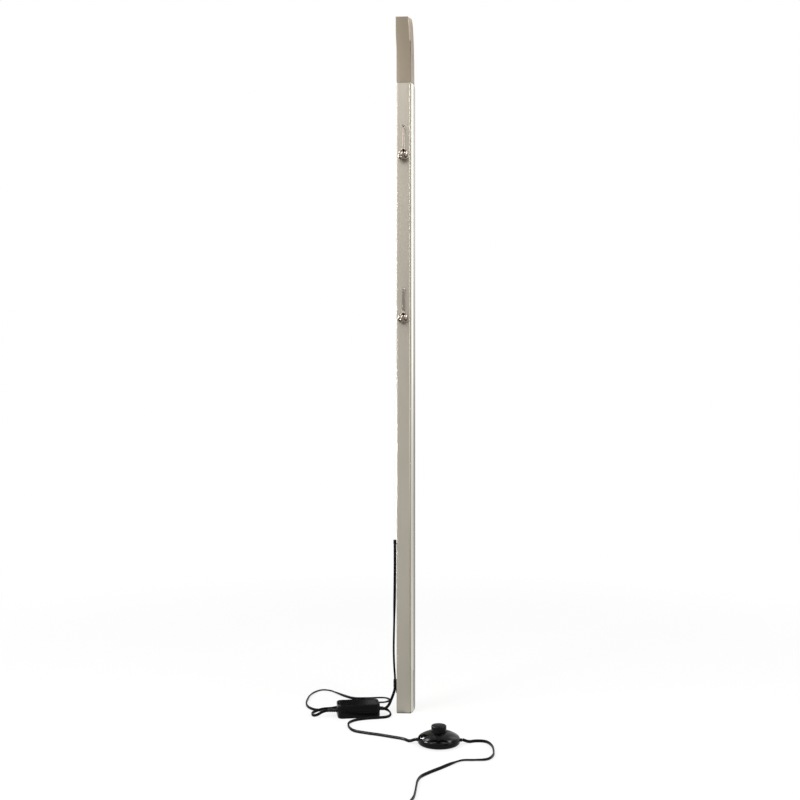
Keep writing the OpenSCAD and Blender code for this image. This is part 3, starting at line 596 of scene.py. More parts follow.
def smooth_line(route, spacing=2.5):
    """Points along a smooth curve through a route, and how many route points each has passed."""
    points = [Vector(p if len(p) == 3 else (*p, ON_FLOOR)) for p in route]
    points = [2 * points[0] - points[1], *points, 2 * points[-1] - points[-2]]
    line, passed = [], []
    for n, (a, b, c, d) in enumerate(zip(points, points[1:], points[2:], points[3:])):
        steps = max(round((c - b).length / spacing), 1)
        for k in range(steps):
            t = k / steps
            line.append(0.5 * (
                2 * b + (c - a) * t + (2 * a - 5 * b + 4 * c - d) * t * t
                + (3 * b - a - 3 * c + d) * t * t * t
            ))
            passed.append(n + t)
    line.append(points[-2])
    passed.append(len(route) - 1)
    return line, passed


def roll_at(rolls, passed):
    """The lead's roll in degrees after so many route points, from (route points, degrees) pairs."""
    before, roll = rolls[0]
    for after, next_roll in rolls[1:]:
        if passed < after:
            return roll + (next_roll - roll) * eased(passed, before, after)
        before, roll = after, next_roll
    return roll


def twin_section():
    """The lead's section: two round cores side by side, with a shallow valley between them."""
    width, thick = in_mm("lead_width", "lead_thickness")
    radius, shift = thick / 2, (width - thick) / 2
    # Degrees left out at both ends of a core's half round, its points, and how deep the valley is
    margin, points, valley = 12, 8, 0.84
    section = []
    for side in (1, -1):
        for k in range(points):
            a = radians(side * -90 + margin + k * (180 - 2 * margin) / (points - 1))
            section.append((side * shift + radius * cos(a), radius * sin(a)))
        section.append((0, side * radius * valley))
    return section


def lead_mesh(route, rolls):
    """A flat lead swept along its route, rolled about its length as the pairs in rolls say."""
    line, passed = smooth_line(route)
    section = twin_section()
    bm = bmesh.new()
    rings = []
    for i, point in enumerate(line):
        ahead = (line[min(i + 1, len(line) - 1)] - line[max(i - 1, 0)]).normalized()
        steep = abs(ahead.z)
        side = ahead.cross(Vector((-steep, 0, 1 - steep))).normalized()
        side.rotate(Matrix.Rotation(radians(roll_at(rolls, passed[i])), 3, ahead))
        up = side.cross(ahead)
        ring = [point + side * x + up * y for x, y in section]
        # What would sink into the floor rests on it
        lift = Vector((0, 0, max(0, -min(corner.z for corner in ring))))
        rings.append([bm.verts.new(corner + lift) for corner in ring])
    count = len(section)
    for a, b in zip(rings, rings[1:]):
        for k in range(count):
            bm.faces.new((a[k], a[(k + 1) % count], b[(k + 1) % count], b[k]))
    bm.faces.new(rings[0])
    bm.faces.new(rings[-1])
    return bm, line


def lead(name, route, nodes, rolls):
    """A free lead that stands for its nodes."""
    bm, line = lead_mesh(route, rolls)
    piece = finished(bm, name, "cord_jacket", *nodes)


# ---- Operators

class LampOperator(Operator):
    """Shared settings of the lamp's operators"""

    bl_options = {"REGISTER", "UNDO"}


class LAMP_OT_camera(LampOperator):
    """Sets the camera level, a little to the right of straight ahead"""

    bl_idname = "lamp.camera"
    bl_label = "Camera"

    def execute(self, context):
        turn = radians(2.5)
        distance, aside, eye_level = 2.132, 0.0122, 0.629
        right, ahead = Vector((cos(turn), sin(turn), 0)), Vector((-sin(turn), cos(turn), 0))
        data = bpy.data.cameras.new("camera")
        data.sensor_width, data.lens = 36, 47.25
        data.clip_start, data.clip_end = 0.05, 60
        camera = bpy.data.objects.new("camera", data)
        camera.location = -distance * ahead - aside * right + Vector((0, 0, eye_level))
        camera.rotation_euler = (radians(90), 0, turn)
        context.scene.collection.objects.link(camera)
        context.scene.camera = camera
        return {"FINISHED"}


class LAMP_OT_driver(LampOperator):
    """Models the driver box, its two halves and its strain reliefs"""

    bl_idname = "lamp.driver"
    bl_label = "Driver box"

    def execute(self, context):
        corner = in_mm("driver_corner")
        place = laid((-94, -40, 0), 11, "Z")
        half_l, half_w, split, top, lead_z = 42, 22, 13, 26, 12
        # The halves stand this far from the split, and their rims are rounded
        shadow_gap, rim_round = 0.25, 1.6

        def half(low, high, rim):
            bm = bmesh.new()
            made = brick(bm, (-half_l, -half_w, low), (half_l, half_w, high))
            round_edges(bm, edges_where(made, upright), corner, 8)
            rim_edges = edges_where(bm.verts, lambda a, b: a.z == b.z == rim)
            round_edges(bm, rim_edges, rim_round)
            return bm

        lower = half(0, split - shadow_gap, 0)
        finished(lower, "driver_tray", "black_case", "driver_lower_case", place=place, edge=0.35)
        upper = half(split + shadow_gap, top, top)
        # A shallow frame runs round the lid, and the panel inside it stands a little lower
        lid = max(upper.faces, key=lambda f: f.calc_center_median().z)
        for width, rise in ((3.0, 0), (0.7, -0.6)):
            bmesh.ops.inset_region(
                upper, faces=[lid], thickness=width, depth=rise, use_even_offset=True,
            )
        finished(upper, "driver_lid", "black_case", "driver_upper_case", place=place, edge=0.3)
        for side, reach, ribs, node in (
            (-1, 20, 4, "driver_lamp_relief"), (1, 8, 2, "driver_mains_relief"),
        ):
            finished(
                ribbed_relief(4.5, 3.3, reach, ribs), node + "_sleeve", "black_moulding", node,
                finish="black_rubber",
                place=place @ laid((side * half_l, 0, lead_z), side * 90, "Y"),
            )
        return {"FINISHED"}


def ribbed_relief(big, small, reach, ribs):
    """A tapered sleeve along Z with grooves between its ribs, closed at both ends."""
    # Its collar stands out at the foot and is sunk into the wall
    collar, sunk, groove, plain = 1.2, 1.6, 0.75, 1.5
    path = [(0, -sunk), (big + collar, -sunk), (big + collar, 0), (big, 0)]
    pitch = (reach - 2 * plain) / ribs
    for k in range(ribs):
        for share, drop in ((0.18, 0), (0.3, groove), (0.7, groove), (0.82, 0)):
            z = plain + (k + share) * pitch
            path.append((big + (small - big) * z / reach - drop, z))
    path += [(small, reach - 0.5), (small - 0.5, reach), (0, reach)]
    return turned(*path, steps=40)


class LAMP_OT_foot_switch(LampOperator):
    """Models the foot switch: base, domed cover, button and the sleeves round its leads"""

    bl_idname = "lamp.foot_switch"
    bl_label = "Foot switch"

    def execute(self, context):
        low, high = box_mm("foot_switch_cover")
        centre = middle("foot_switch_cover")
        place = Matrix.Translation((centre.x, centre.y, 0))
        rim_r, rim_z, sole_z, top, skin = (high.x - low.x) / 2, 8.5, 1.5, 24.6, 2.0
        button_r, hole_r, collar_z = 14.0, 14.3, 17.0
        # The flat arc of the dome runs into a small roll at the rim, and the base rolls under it
        roll = rim_z - sole_z
        roll_x = rim_r - roll
        roll_end = 90 - degrees(2 * atan((top - rim_z - roll) / roll_x))
        dome = roll_x / cos(radians(roll_end)) + roll
        dome_z = top - dome

        def tilt(radius, sphere):
            return degrees(asin(radius / sphere))

        def dome_at(radius, sphere):
            return radius, dome_z + sqrt(sphere ** 2 - radius ** 2)

        # The base's outside is fuller than its inside, and a seam parts it from the cover
        foot_z, foot_roll, seam = 0.8, 4.5, 0.15
        base = turned(
            (0, foot_z), (rim_r - foot_roll, foot_z),
            ((rim_r - foot_roll, foot_z + foot_roll), 90, 14), (rim_r, rim_z),
            (rim_r - skin, rim_z), ((roll_x, rim_z), -90, 14), (0, sole_z + skin), steps=96,
        )
        rim = [v for v in base.verts if v.co.z > rim_z - 0.01]
        bmesh.ops.translate(base, verts=rim, vec=(0, 0, -seam))
        finished(
            base, "foot_switch_tray", "black_moulding", "foot_switch_base", place=place, sharp=50,
        )

        # The dome turns down into the hole, and a collar under it guides the button
        lip, lip_drop = 0.6, 0.4
        cover = turned(
            (rim_r, rim_z), ((roll_x, rim_z), roll_end, 10),
            ((0, dome_z), 90 - roll_end - tilt(hole_r + lip, dome), 20),
            (hole_r, dome_at(hole_r, dome)[1] - lip_drop), (hole_r, collar_z),
            (hole_r + skin, collar_z), dome_at(hole_r + skin, dome - skin),
            ((0, dome_z), tilt(hole_r + skin, dome - skin) - (90 - roll_end), 16),
            ((roll_x, rim_z), -roll_end, 8), steps=96,
        )
        finished(
            cover, "foot_switch_dome", "black_moulding", "foot_switch_cover", place=place, sharp=50,
        )

        # The button's flange stays under the collar
        flange_r, flange_z, inside_z = 15.5, collar_z - 0.3, 33
        button = turned(
            (0, 35), (6, 34.9), (10, 34.6), (12, 34.2), ((12, 32.2), -90, 6),
            (button_r, flange_z), (flange_r, flange_z), (flange_r, flange_z - 2),
            (button_r - skin, flange_z - 2), (button_r - skin, inside_z), (0, inside_z), steps=96,
        )
        finished(
            button, "foot_switch_cap", "black_moulding", "foot_switch_button",
            body="foot_button", place=place, sharp=40,
        )

        sleeves = bmesh.new()
        for side in (-1, 1):
            sleeve = turned(
                (0, -5), (3.2, -5), (3.2, 1.2), (2.6, 1.5), (2.6, 2.1), (3.2, 2.4),
                (3.1, 3.3), (2.7, 4.0), (0, 4.0), steps=32,
            )
            join(sleeves, sleeve, laid((side * rim_r, 0, rim_z - 1), side * 90, "Y"))
        finished(
            sleeves, "foot_switch_sleeves", "black_moulding", "foot_switch_reliefs",
            finish="black_rubber", place=place,
        )
        return {"FINISHED"}


class LAMP_OT_plug(LampOperator):
    """Models the moulded plug, its ribbed strain relief and the tie round the coil"""

    bl_idname = "lamp.plug"
    bl_label = "Plug and tie"

    def execute(self, context):
        low, high = box_mm("plug_body")
        centre = middle("plug_body")
        body_y = low.y + 30
        grip = bmesh.new()
        made = brick(grip, low, (high.x, body_y, high.z))
        # The body narrows towards the lead
        narrow_x, narrow_z = 0.62, 0.72
        for v in made:
            if v.co.y > body_y - 1:
                v.co.x = centre.x + (v.co.x - centre.x) * narrow_x
                v.co.z = centre.z + (v.co.z - centre.z) * narrow_z
        round_edges(grip, edges_where(made, lambda a, b: abs(a.y - b.y) > 1), 3.5, 6)
        shoulder = edges_where(grip.verts, lambda a, b: abs(a.y - b.y) < 0.01 and a.y > body_y - 1)
        round_edges(grip, shoulder, 2.5)
        relief = ribbed_relief(4.3, 3.3, 20, 4)
        join(grip, relief, laid((centre.x, body_y - 0.4, centre.z), -90, "X"))
        finished(grip, "plug_moulding", "cord_jacket", "plug_body", edge=0.3)

        tie = bmesh.new()
        made = brick(tie, *box_mm("coil_tie"))
        round_edges(tie, edges_where(made, lambda a, b: abs(a.x - b.x) > 1), 1.4)
        open_ends(tie, 0)
        finished(tie, "tie_band", "black_rubber", "coil_tie", wall=0.75)
        return {"FINISHED"}


class LAMP_OT_leads(LampOperator):
    bl_idname = "lamp.leads"
    bl_label = "Leads"

    def execute(self, context):
        lead(
            "lamp_twin_lead", LAMP_ROUTE, ["lamp_lead"],
            LAMP_ROLLS,
        )
        lead(
            "switch_twin_lead", SWITCH_ROUTE, ["switch_lead"],
            SWITCH_ROLLS,
        )
        route = MAINS_ROUTE + coil_route() + PLUG_ROUTE
        # It rolls flat again between the coil's end and the plug
        plug_end = len(route) - len(PLUG_ROUTE)
        lead(
            "mains_twin_lead", route, ["mains_lead", "mains_coil"],
            (*MAINS_ROLLS, (plug_end, 90), (len(route) - 2, 0)),
        )
        return {"FINISHED"}


def cover_arc():
    """The side cover's bulge: where it is widest, its radius and its centre, in millimetres."""
    widest = -HALF_DEPTH + in_mm("bulge_from_front")
    rise = COVER_HIGH.x - (FACE_RIGHT + in_mm("groove"))
    radius = ((widest + HALF_DEPTH) ** 2 + rise ** 2) / (2 * rise)
    return widest, radius, COVER_HIGH.x - radius


def arc_x(y, inset=0.0):
    """Where the side cover's bulge lies at a depth, in millimetres."""
    widest, radius, centre_x = cover_arc()
    return centre_x + sqrt((radius - inset) ** 2 - (y - widest) ** 2)


def groove_seal(name, slot, low, high, set_back):
    """Closes the groove beside the side cover from one height to another, behind the front face."""
    gap, depth = in_mm("groove", "groove_depth")
    overlap = 0.02
    seal = bmesh.new()
    brick(
        seal, (FACE_RIGHT - overlap, -HALF_DEPTH + set_back, low),
        (FACE_RIGHT + gap + overlap, -HALF_DEPTH + depth, high),
    )
    finished(seal, name, slot)


class LAMP_OT_column(LampOperator):
    """Models the column's channel, its bulged side cover and the polished top plate"""

    bl_idname = "lamp.column"
    bl_label = "Column"

    def execute(self, context):
        wall, gap, depth, edge = in_mm("wall", "groove", "groove_depth", "column_edge")
        # The front right edge: a chamfer, then a narrow land that is set back a step
        arris, land, step = 1.6, 0.2, 0.9
        # How far back the channel's lip reaches, and how wide the cover's tongues are
        lip, tongue = 9, 2
        left, right, far_right = COLUMN_LOW.x, FACE_RIGHT, COVER_HIGH.x
        front, back = -HALF_DEPTH, HALF_DEPTH
        low, tall = COLUMN_LOW.z, COLUMN_HIGH.z - COLUMN_LOW.z
        widest, bulge, centre_x = cover_arc()
        span = degrees(asin((widest - front) / bulge))
        left_corners = (
            (left + edge, front), ((left + edge, front + edge), -90, 6),
            (left, back - edge), ((left + edge, back - edge), -90, 6),
        )

        channel = bmesh.new()
        prism(
            channel, "Z", low, tall, (right, front + step), (right - land, front + step),
            (right - land - arris, front), *left_corners, (COLUMN_HIGH.x, back),
            (COLUMN_HIGH.x, back - wall), (left + wall, back - wall), (left + wall, front + wall),
            (right - wall, front + wall), (right - wall, front + lip), (right, front + lip),
        )
        finished(channel, "column_skin", "satin_nickel", "column_channel", edge=0.2, sharp=20)

        cover = bmesh.new()
        inner = degrees(asin((widest - front - depth - tongue) / (bulge - wall)))
        inside = far_right - wall
        prism(
            cover, "Z", low, tall, (right + gap, front), ((centre_x, widest), span, 28),
            (far_right, back), (inside, back), (inside, back - wall), (right, back - wall),
            (right, back - wall - tongue), (inside, back - wall - tongue), (inside, widest),
            ((centre_x, widest), -inner, 20), (right, front + depth + tongue),
            (right, front + depth), (right + gap, front + depth),
        )
        finished(
            cover, "side_cover_skin", "polished_strip", "column_side_cover", edge=0.15, sharp=25,
        )
        groove_seal("groove_seal", "satin_nickel", low, COLUMN_HIGH.z, 3.2)

        plate_low, plate_high = box_mm("column_top_plate")
        plate = bmesh.new()
        prism(
            plate, "Z", plate_low.z, plate_high.z - plate_low.z, *left_corners, (far_right, back),
            (far_right, widest), ((centre_x, widest), -span, 28),
        )
        finished(plate, "top_plate", "polished_strip", "column_top_plate", edge=0.25)
        return {"FINISHED"}


# The head's sweeps start level with its foot: their radii, and the depths of their centres
HEAD_FOOT = 1266.0
FRONT_SWEEP, FRONT_CENTRE = 837.05, -862.05
BACK_SWEEP, BACK_CENTRE = 426.025, -421.025
# The rounding behind its top, its step in from the column's arc, and its lean to the left
TOP_CORNER, TOP_CORNER_Y = 6.0, -21.0
HEAD_STEP, HEAD_LEAN, LEAN_START, LEAN_END = 1.0, 1.4, 60, 105
HEAD_COLUMNS = 14


def head_front(z):
    """Depth of the head's front at a height, on its long forward sweep."""
    return FRONT_CENTRE + sqrt(FRONT_SWEEP ** 2 - (z - HEAD_FOOT) ** 2)


def head_back(z):
    """Depth of the head's back at a height, with its rounded top corner."""
    back = BACK_CENTRE + sqrt(BACK_SWEEP ** 2 - (z - HEAD_FOOT) ** 2)
    corner_z = LAMP_TOP - TOP_CORNER
    if z > corner_z:
        back = min(back, TOP_CORNER_Y + sqrt(max(TOP_CORNER ** 2 - (z - corner_z) ** 2, 0)))
    return back


def head_left(z, inset=0.0):
    """The head's left side, which leans out a little near its top."""
    return HEAD_LOW.x + inset - HEAD_LEAN * eased(z, HEAD_FOOT + LEAN_START, HEAD_FOOT + LEAN_END)


def head_arc(y, inset=0.0):
    """Where the head's right side lies at a depth: the column's arc, one step further in."""
    return arc_x(y, inset) - HEAD_STEP


def head_block(levels, left_at, right_at, front_at=head_front, inset=0.0):
    """A block cut into rows and columns, then laid between the head's front, back and sides."""
    bm = bmesh.new()
    brick(bm, (0, 0, levels[0]), (1, 1, levels[-1]))
    cuts = [((0, 0, z), (0, 0, 1)) for z in levels[1:-1]]
    cuts += [((0, k / HEAD_COLUMNS, 0), (0, 1, 0)) for k in range(1, HEAD_COLUMNS)]
    for spot, normal in cuts:
        bmesh.ops.bisect_plane(
            bm, geom=[*bm.verts, *bm.edges, *bm.faces], plane_co=spot, plane_no=normal, dist=1e-6,
        )
    for v in bm.verts:
        z = v.co.z
        front, back = front_at(z) + inset, head_back(z) - inset
        y = front + (back - front) * v.co.y
        left = left_at(z)
        v.co = (left + (right_at(y, z) - left) * v.co.x, y, z)
    return bm


def levels_between(low, high, count, crowd=1.0):
    """Levels from low to high, closer together near the top where crowd is over 1."""
    return [low + (high - low) * (1 - (1 - k / count) ** crowd) for k in range(count + 1)]


def end_levels(bm, axis):
    """Closes a shape's seams, turns its faces outwards, and finds its two ends along an axis."""
    bmesh.ops.remove_doubles(bm, verts=bm.verts, dist=SEAM)
    bmesh.ops.recalc_face_normals(bm, faces=bm.faces)
    levels = [v.co[axis] for v in bm.verts]
    return min(levels), max(levels)


def all_at(verts, axis, level):
    return all(abs(v.co[axis] - level) < 1e-4 for v in verts)


def open_ends(bm, axis):
    """Opens a closed shape at both ends of an axis."""
    levels = end_levels(bm, axis)
    ends = [f for f in bm.faces for level in levels if all_at(f.verts, axis, level)]
    bmesh.ops.delete(bm, geom=ends, context="FACES")


def soften_sides(bm):
    """Rounds the edges that run up the head, and leaves its level joints crisp."""
    levels = end_levels(bm, 2)
    running_up = [
        e for e in bm.edges
        if e.calc_face_angle(0) > 0.5 and not any(all_at(e.verts, 2, z) for z in levels)
    ]
    round_edges(bm, running_up, in_mm("head_edge"), 3)


class LAMP_OT_head(LampOperator):
    """Models the head: its housing and cap in one skin, the strip beside them and the lens"""

    bl_idname = "lamp.head"
    bl_label = "Head"

    def execute(self, context):
        wall, gap = in_mm("wall", "groove")
        right = FACE_RIGHT

        def skin_right(y, z):
            return head_arc(y) if z > CAP_FOOT - CAP_JOINT / 4 else min(right, head_arc(y))

        rows = levels_between(HEAD_LOW.z, CAP_FOOT - CAP_JOINT / 2, 16)
        rows += levels_between(CAP_FOOT, LAMP_TOP, 26, 2.0)
        skin = head_block(rows, head_left, skin_right)
        soften_sides(skin)
        open_ends(skin, 2)
        finished(skin, "head_skin", "satin_head", "head_housing", "head_cap", wall=wall, sharp=40)

        # The head's strip takes the painted-shade head plate, so it stays darker than the column's
        # polished strip
        strip = head_block(
            levels_between(HEAD_LOW.z, HEAD_HIGH.z, 18), lambda z: right + gap,
            lambda y, z: max(head_arc(y), right + gap + 0.05), front_at=lambda z: -HALF_DEPTH,
        )
        finished(strip, "head_strip", "satin_head", "head_side_cover", edge=0.15, sharp=40)
        groove_seal("head_groove_seal", "satin_head", HEAD_LOW.z, HEAD_HIGH.z, 0.8)

        lens_low, lens_high = box_mm("led_lens")
        inset = wall + 0.1
        lens = head_block(
            levels_between(lens_low.z, lens_high.z, 6, 2.0), lambda z: head_left(z, inset),
            lambda y, z: head_arc(y, inset), inset=inset,
        )
        finished(lens, "lens_plate", "lens_opal", "led_lens", edge=0.3, sharp=40)
        return {"FINISHED"}


class LAMP_OT_drops(LampOperator):
    """Models both pear drops, their forks and the posts that carry them"""

    bl_idname = "lamp.drops"
    bl_label = "Pear drops"

    def execute(self, context):
        for name in ("upper_drop", "lower_drop"):
            self.hang(name)
        return {"FINISHED"}

    def hang(self, name):
        """A drop and its post, drawn round the hinge."""
        hinge = middle(name + "_pin")
        place = Matrix.Translation(hinge)
        tip = box_mm(name)[0].z - hinge.z
        bob, stem = (size / 2 for size in in_mm("bob", "stem"))
        bob_z = tip + bob
        # The bob's round ends this many degrees over its middle, and tapers lead to the neck
        lean, neck, neck_z = 56, 2.6, bob_z + bob + 8
        pear = turned(
            (0, tip), ((0, bob_z), 90 + lean, 28), (4.6, bob_z + 10.1), (3.5, bob_z + 11.8),
            (2.8, bob_z + 14), (neck, neck_z), (stem, -7.5), (stem, -4.5), (0, -4.5), steps=72,
        )
        finished(pear, name + "_bob", "chrome", name, body=name, place=place, sharp=40)

        fork = bmesh.new()
        cheek, cheek_x = 1.5, 2.05
        for side in (-1, 1):
            prism(
                fork, "X", side * cheek_x - cheek / 2, cheek,
                (1.4, -6), (1.4, -1.95), ((0, 0), 288.6, 24), (-1.4, -6),
            )
        brick(fork, (-2.7, -1.3, -5.9), (2.7, 1.3, -3.7))
        finished(fork, name + "_fork", "satin_nickel", body=name, place=place)

        arm = bmesh.new()
        reach = -HALF_DEPTH - hinge.y
        post = turned(
            (0, -5), (1.5, -5), (1.5, 0), (3, 0), (3, 0.9), (2.7, 1.2), (2, 1.2),
            (2, reach - 3.9), (1.5, reach - 3.4), (0.85, reach - 3.2), (0.85, reach - 1.2),
            (0, reach - 1.2), steps=40,
        )
        join(arm, post, laid((0, reach, 0), 90, "X"))
        eye = turned((0, -1), (2.2, -1), (2.4, -0.8), (2.4, 0.8), (2.2, 1), (0, 1), steps=40)
        join(arm, eye, laid((0, 0, 0), 90, "Y"))
        finished(arm, name + "_arm", "satin_nickel", name + "_post", place=place, sharp=40)
        paint("chrome", name + "_pin")


class LAMP_OT_outlet(LampOperator):
    """Models the hooded outlet of the lead and the saddle clip under it"""

    bl_idname = "lamp.outlet"
    bl_label = "Outlet and clip"

    def execute(self, context):
        side = COLUMN_LOW.x
        low, high = box_mm("cord_gland")
        outlet_z = 341
        hood = bmesh.new()
        made = brick(hood, low, (side, high.y, high.z))
        crown = edges_where(
            made, lambda a, b: a.z == b.z == high.z and a.x < side - 1 and b.x < side - 1,
        )
        round_edges(hood, crown, 2.6, 6)
        stem = turned((0, -1), (3, -1), (3, 6), (0, 6), steps=40)
        join(hood, stem, laid((side, 0, outlet_z), 90, "Y"))
        finished(
            hood, "outlet_hood", "black_moulding", "cord_gland", edge=in_mm("moulding_edge") * 0.6,
        )

        # The saddle over the lead, the plate under it, and its strap's tail
        low, high = box_mm("lead_clip")
        tall = 14
        z = high.z - tall
        clip = bmesh.new()
        prism(
            clip, "Z", z, tall, (side, -5.5), (side - 4.7, -5.5), ((side - 4.7, -2.7), -90, 6),
            (side - 7.5, 2.7), ((side - 4.7, 2.7), -90, 6), (side, 5.5), (side, 2.9),
            (side - 5.2, 2.9), (side - 6.15, 2.2), (side - 6.15, -2.2), (side - 5.2, -2.9),
            (side, -2.9),
        )
        brick(clip, (side - 2.6, -5.4, z + 0.3), (side, 5.4, high.z - 0.3))
        prism(
            clip, "X", side - 2.2, 2.1, (-2, z + 1), (-2, low.z + 2), ((0, low.z + 2), 180, 8),
            (2, z + 1),
        )
        finished(clip, "lead_saddle_clip", "black_moulding", "lead_clip", edge=0.3)
        return {"FINISHED"}


class LAMP_OT_inner_parts(LampOperator):
    """Gives every part that keeps its frame shape its own finish"""

    bl_idname = "lamp.inner_parts"
    bl_label = "Inner parts"

    def execute(self, context):
        for slot, nodes in {
            "zinc": ("head_spigot",),
            "steel": (
                "foot_plug", "ballast_bar", "back_screws", "head_screw", "led_screws",
                "driver_screws", "foot_switch_screws", "foot_switch_spring", "upper_drop_nut",
                "lower_drop_nut",
            ),
            "black_rubber": ("foot_pad", "foot_switch_pad", "lens_gasket", "gland_nut"),
            "white_nylon": ("lead_saddles", "inner_lead", "foot_switch_module"),
            "aluminium": ("led_heat_sink",),
            "white_board": ("led_board",),
            "phosphor": ("led_chips",),
            "circuit_board": ("driver_board",),
            "winding_tape": ("driver_transformer",),
            "capacitor_sleeve": ("driver_capacitors",),
            "nickel_brass": ("plug_blades",),
        }.items():
            paint(slot, *nodes)
        return {"FINISHED"}


# ---- Stage

WHITE = (1, 1, 1, 1)
# Softboxes: name, place, aim, width, height and power
LAMPS = (
    ("key_left", (-2.2, -1.6, 2.2), (0, 0, 0.6), 1.6, 2.0, 40),
    ("fill_right", (2.2, -1.4, 1.9), (0, 0, 0.6), 1.6, 2.0, 30),
    ("top", (0, -0.4, 3.2), (0, 0, 0), 2.4, 2.4, 30),
    ("front_high", (0, -3.0, 2.7), (0, 0, 1.3), 1.5, 0.6, 2),
    ("small_left", (-1.3, -1.5, 1.7), (0, 0, 0.2), 0.35, 0.35, 4),
)
# Studio cards: name, place, aim, width, height and brightness, then for a shaded one its
# brightness at the top and the share of its height over which it changes.
# An aim a hair off upright turns a card that lies on the floor
CARDS = (
    # Behind the lamp, for the polished side cover to mirror
    ("bright_behind_right", (0.97, 1.2, 0.89), (0.97, 0, 0.89), 0.38, 1.78, 0.9, 2.5, (0.1, 0.72)),
    ("grey_behind", (0.03, 0.25, 0.95), (0.03, 0, 0.95), 0.26, 1.9, 0.38, 0.77, (0.26, 0.58)),
    ("grey_floor_behind", (0.0232, 0.1511, 0.0006), (0.02375, 0.15194, 1), 0.16, 0.36, 0.42),
    ("pale_floor_behind", (0.1574, 0.0639, 0.0006), (0.15795, 0.06474, 1), 0.16, 0.36, 0.9),
    # At both sides, for the rounded edges, the chrome and the cover seen from aside
    ("bright_left", (-1.5, 0.1, 1.4), (0, 0.1, 1.4), 1.8, 2.0, 0.8, 1.2, (0.05, 0.55)),
    ("bright_right", (1.5, 0, 1.08), (0, 0, 1.08), 1.0, 1.36, 0.5, 0.8, (0.0, 0.6)),
    ("bright_front_left", (-1.73, -1.0, 1.0), (0, 0, 1.0), 1.07, 1.6, 1.8),
    ("bright_front_right", (1.75, -0.97, 0.57), (0, 0, 0.57), 0.78, 1.14, 1.7, 2.5, (0.1, 0.7)),
    ("pale_front_right", (1.75, -0.97, 1.67), (0, 0, 1.67), 0.78, 1.06, 0.5),
    # Strong ones, for clear highlights on the foot switch, the driver box and the drops
    ("strong_left", (-0.705, -0.33, 0.485), (0.04, -0.24, 0), 0.2, 0.3, 46),
    ("strong_right", (1.4, -0.3, 1.6), (0, 0, 1.1), 0.35, 0.35, 20),
    ("strong_behind_left", (-1.04, 1.32, 1.15), (0.04, -0.22, 0), 0.16, 0.6, 42),
    ("strong_far_left", (-1.35, 0.5, 1.45), (0, 0, 1.45), 0.5, 0.45, 9),
    ("high_left", (-1.2, 1.0, 2.3), (0, 0, 1.0), 0.5, 0.5, 14),
    ("high_right", (1.3, 0.55, 2.3), (0, 0, 1.0), 0.5, 0.5, 14),
    ("overhead_left", (-0.65, -0.95, 2.3), (0.07, -0.24, 0), 0.7, 0.8, 7.5),
    ("overhead_right", (0.8, -0.95, 2.3), (0.07, -0.24, 0), 0.7, 0.8, 7.5),
    # Dark ones over the lamp, at the front right, behind on the left and along the floor's sides
    ("dark_overhead", (0, -1.0, 2.9), (0, -1.0, 0), 2.4, 3.6, 0.02),
    ("dark_front_right", (1.45, -1.78, 0.8), (0, 0, 0.8), 0.6, 1.6, 0.15),
    ("dark_behind_left", (-1.36, 1.9, 1.0), (-1.36, 0, 1.0), 2.6, 2.0, 0.03),
    ("dark_floor_left", (-1.9, -1.0, 0.0003), (-1.9, -1.0, 1), 2.4, 4.0, 0.1),
    ("dark_floor_right", (1.9, -1.4, 0.0003), (1.9, -1.4, 1), 2.4, 3.0, 0.1),
    # Pale ones on the floor in front and level with the face, for its lower half and its middle
    ("pale_floor", (0, -1.08, 0.0004), (0, -1.08, 1), 1.4, 2.05, 0.84),
    ("pale_level", (0.08, -3.2, 0.72), (0.08, 0, 0.72), 1.9, 0.9, 0.66),
)


def turn_to(thing, place, aim, track):
    """Puts an object in its place and turns one of its axes to what it aims at."""
    thing.location = place
    thing.rotation_euler = (Vector(aim) - Vector(place)).to_track_quat(track, "Y").to_euler()


def area_lamp(name, place, aim, width, height, power):
    """A softbox, hidden from the camera but seen in reflections."""
    data = bpy.data.lights.new(name, "AREA")
    data.shape, data.size, data.size_y, data.energy = "RECTANGLE", width, height, power
    lamp = bpy.data.objects.new(name, data)
    turn_to(lamp, place, aim, "-Z")
    lamp.visible_camera = False
    bpy.context.scene.collection.objects.link(lamp)


def flat_sheet(name, width, height):
    """A level sheet about the middle of the scene."""
    bm = bmesh.new()
    bmesh.ops.create_grid(bm, x_segments=1, y_segments=1, size=0.5)
    bmesh.ops.scale(bm, verts=bm.verts, vec=(width, height, 1))
    return linked(bm, name)


def card(name, place, aim, width, height, low, high=None, fade=(0.0, 1.0)):
    """A card seen only in reflections, which brightens from low to high where it has both."""
    sheet = flat_sheet(name, width, height)
    turn_to(sheet, place, aim, "Z")
    material = bpy.data.materials.new(name)
    tree = emptied(material)
    parts = add_node(tree, "ShaderNodeSeparateXYZ", {"Vector": own_space(tree)})
    start, end = [(share - 0.5) * height for share in fade]
    high = low if high is None else high
    level = mapped(
        tree, parts.outputs["Y"], start, end, low, high, interpolation_type="SMOOTHSTEP",
    )
    glow = add_node(tree, "ShaderNodeEmission", {"Strength": level}, {"Color": WHITE})
    add_node(tree, "ShaderNodeOutputMaterial", {"Surface": glow.outputs["Emission"]})
    sheet.data.materials.append(material)
    for ray in ("camera", "diffuse", "shadow", "transmission"):
        setattr(sheet, "visible_" + ray, False)


def seen_rays(tree):
    """1 for camera, mirror and glass rays, 0 for the rays that light the object."""
    path = add_node(tree, "ShaderNodeLightPath")
    camera, mirror, glass = [
        path.outputs[f"Is {kind} Ray"] for kind in ("Camera", "Glossy", "Transmission")
    ]
    return reckoned(tree, "MAXIMUM", reckoned(tree, "MAXIMUM", camera, mirror), glass)


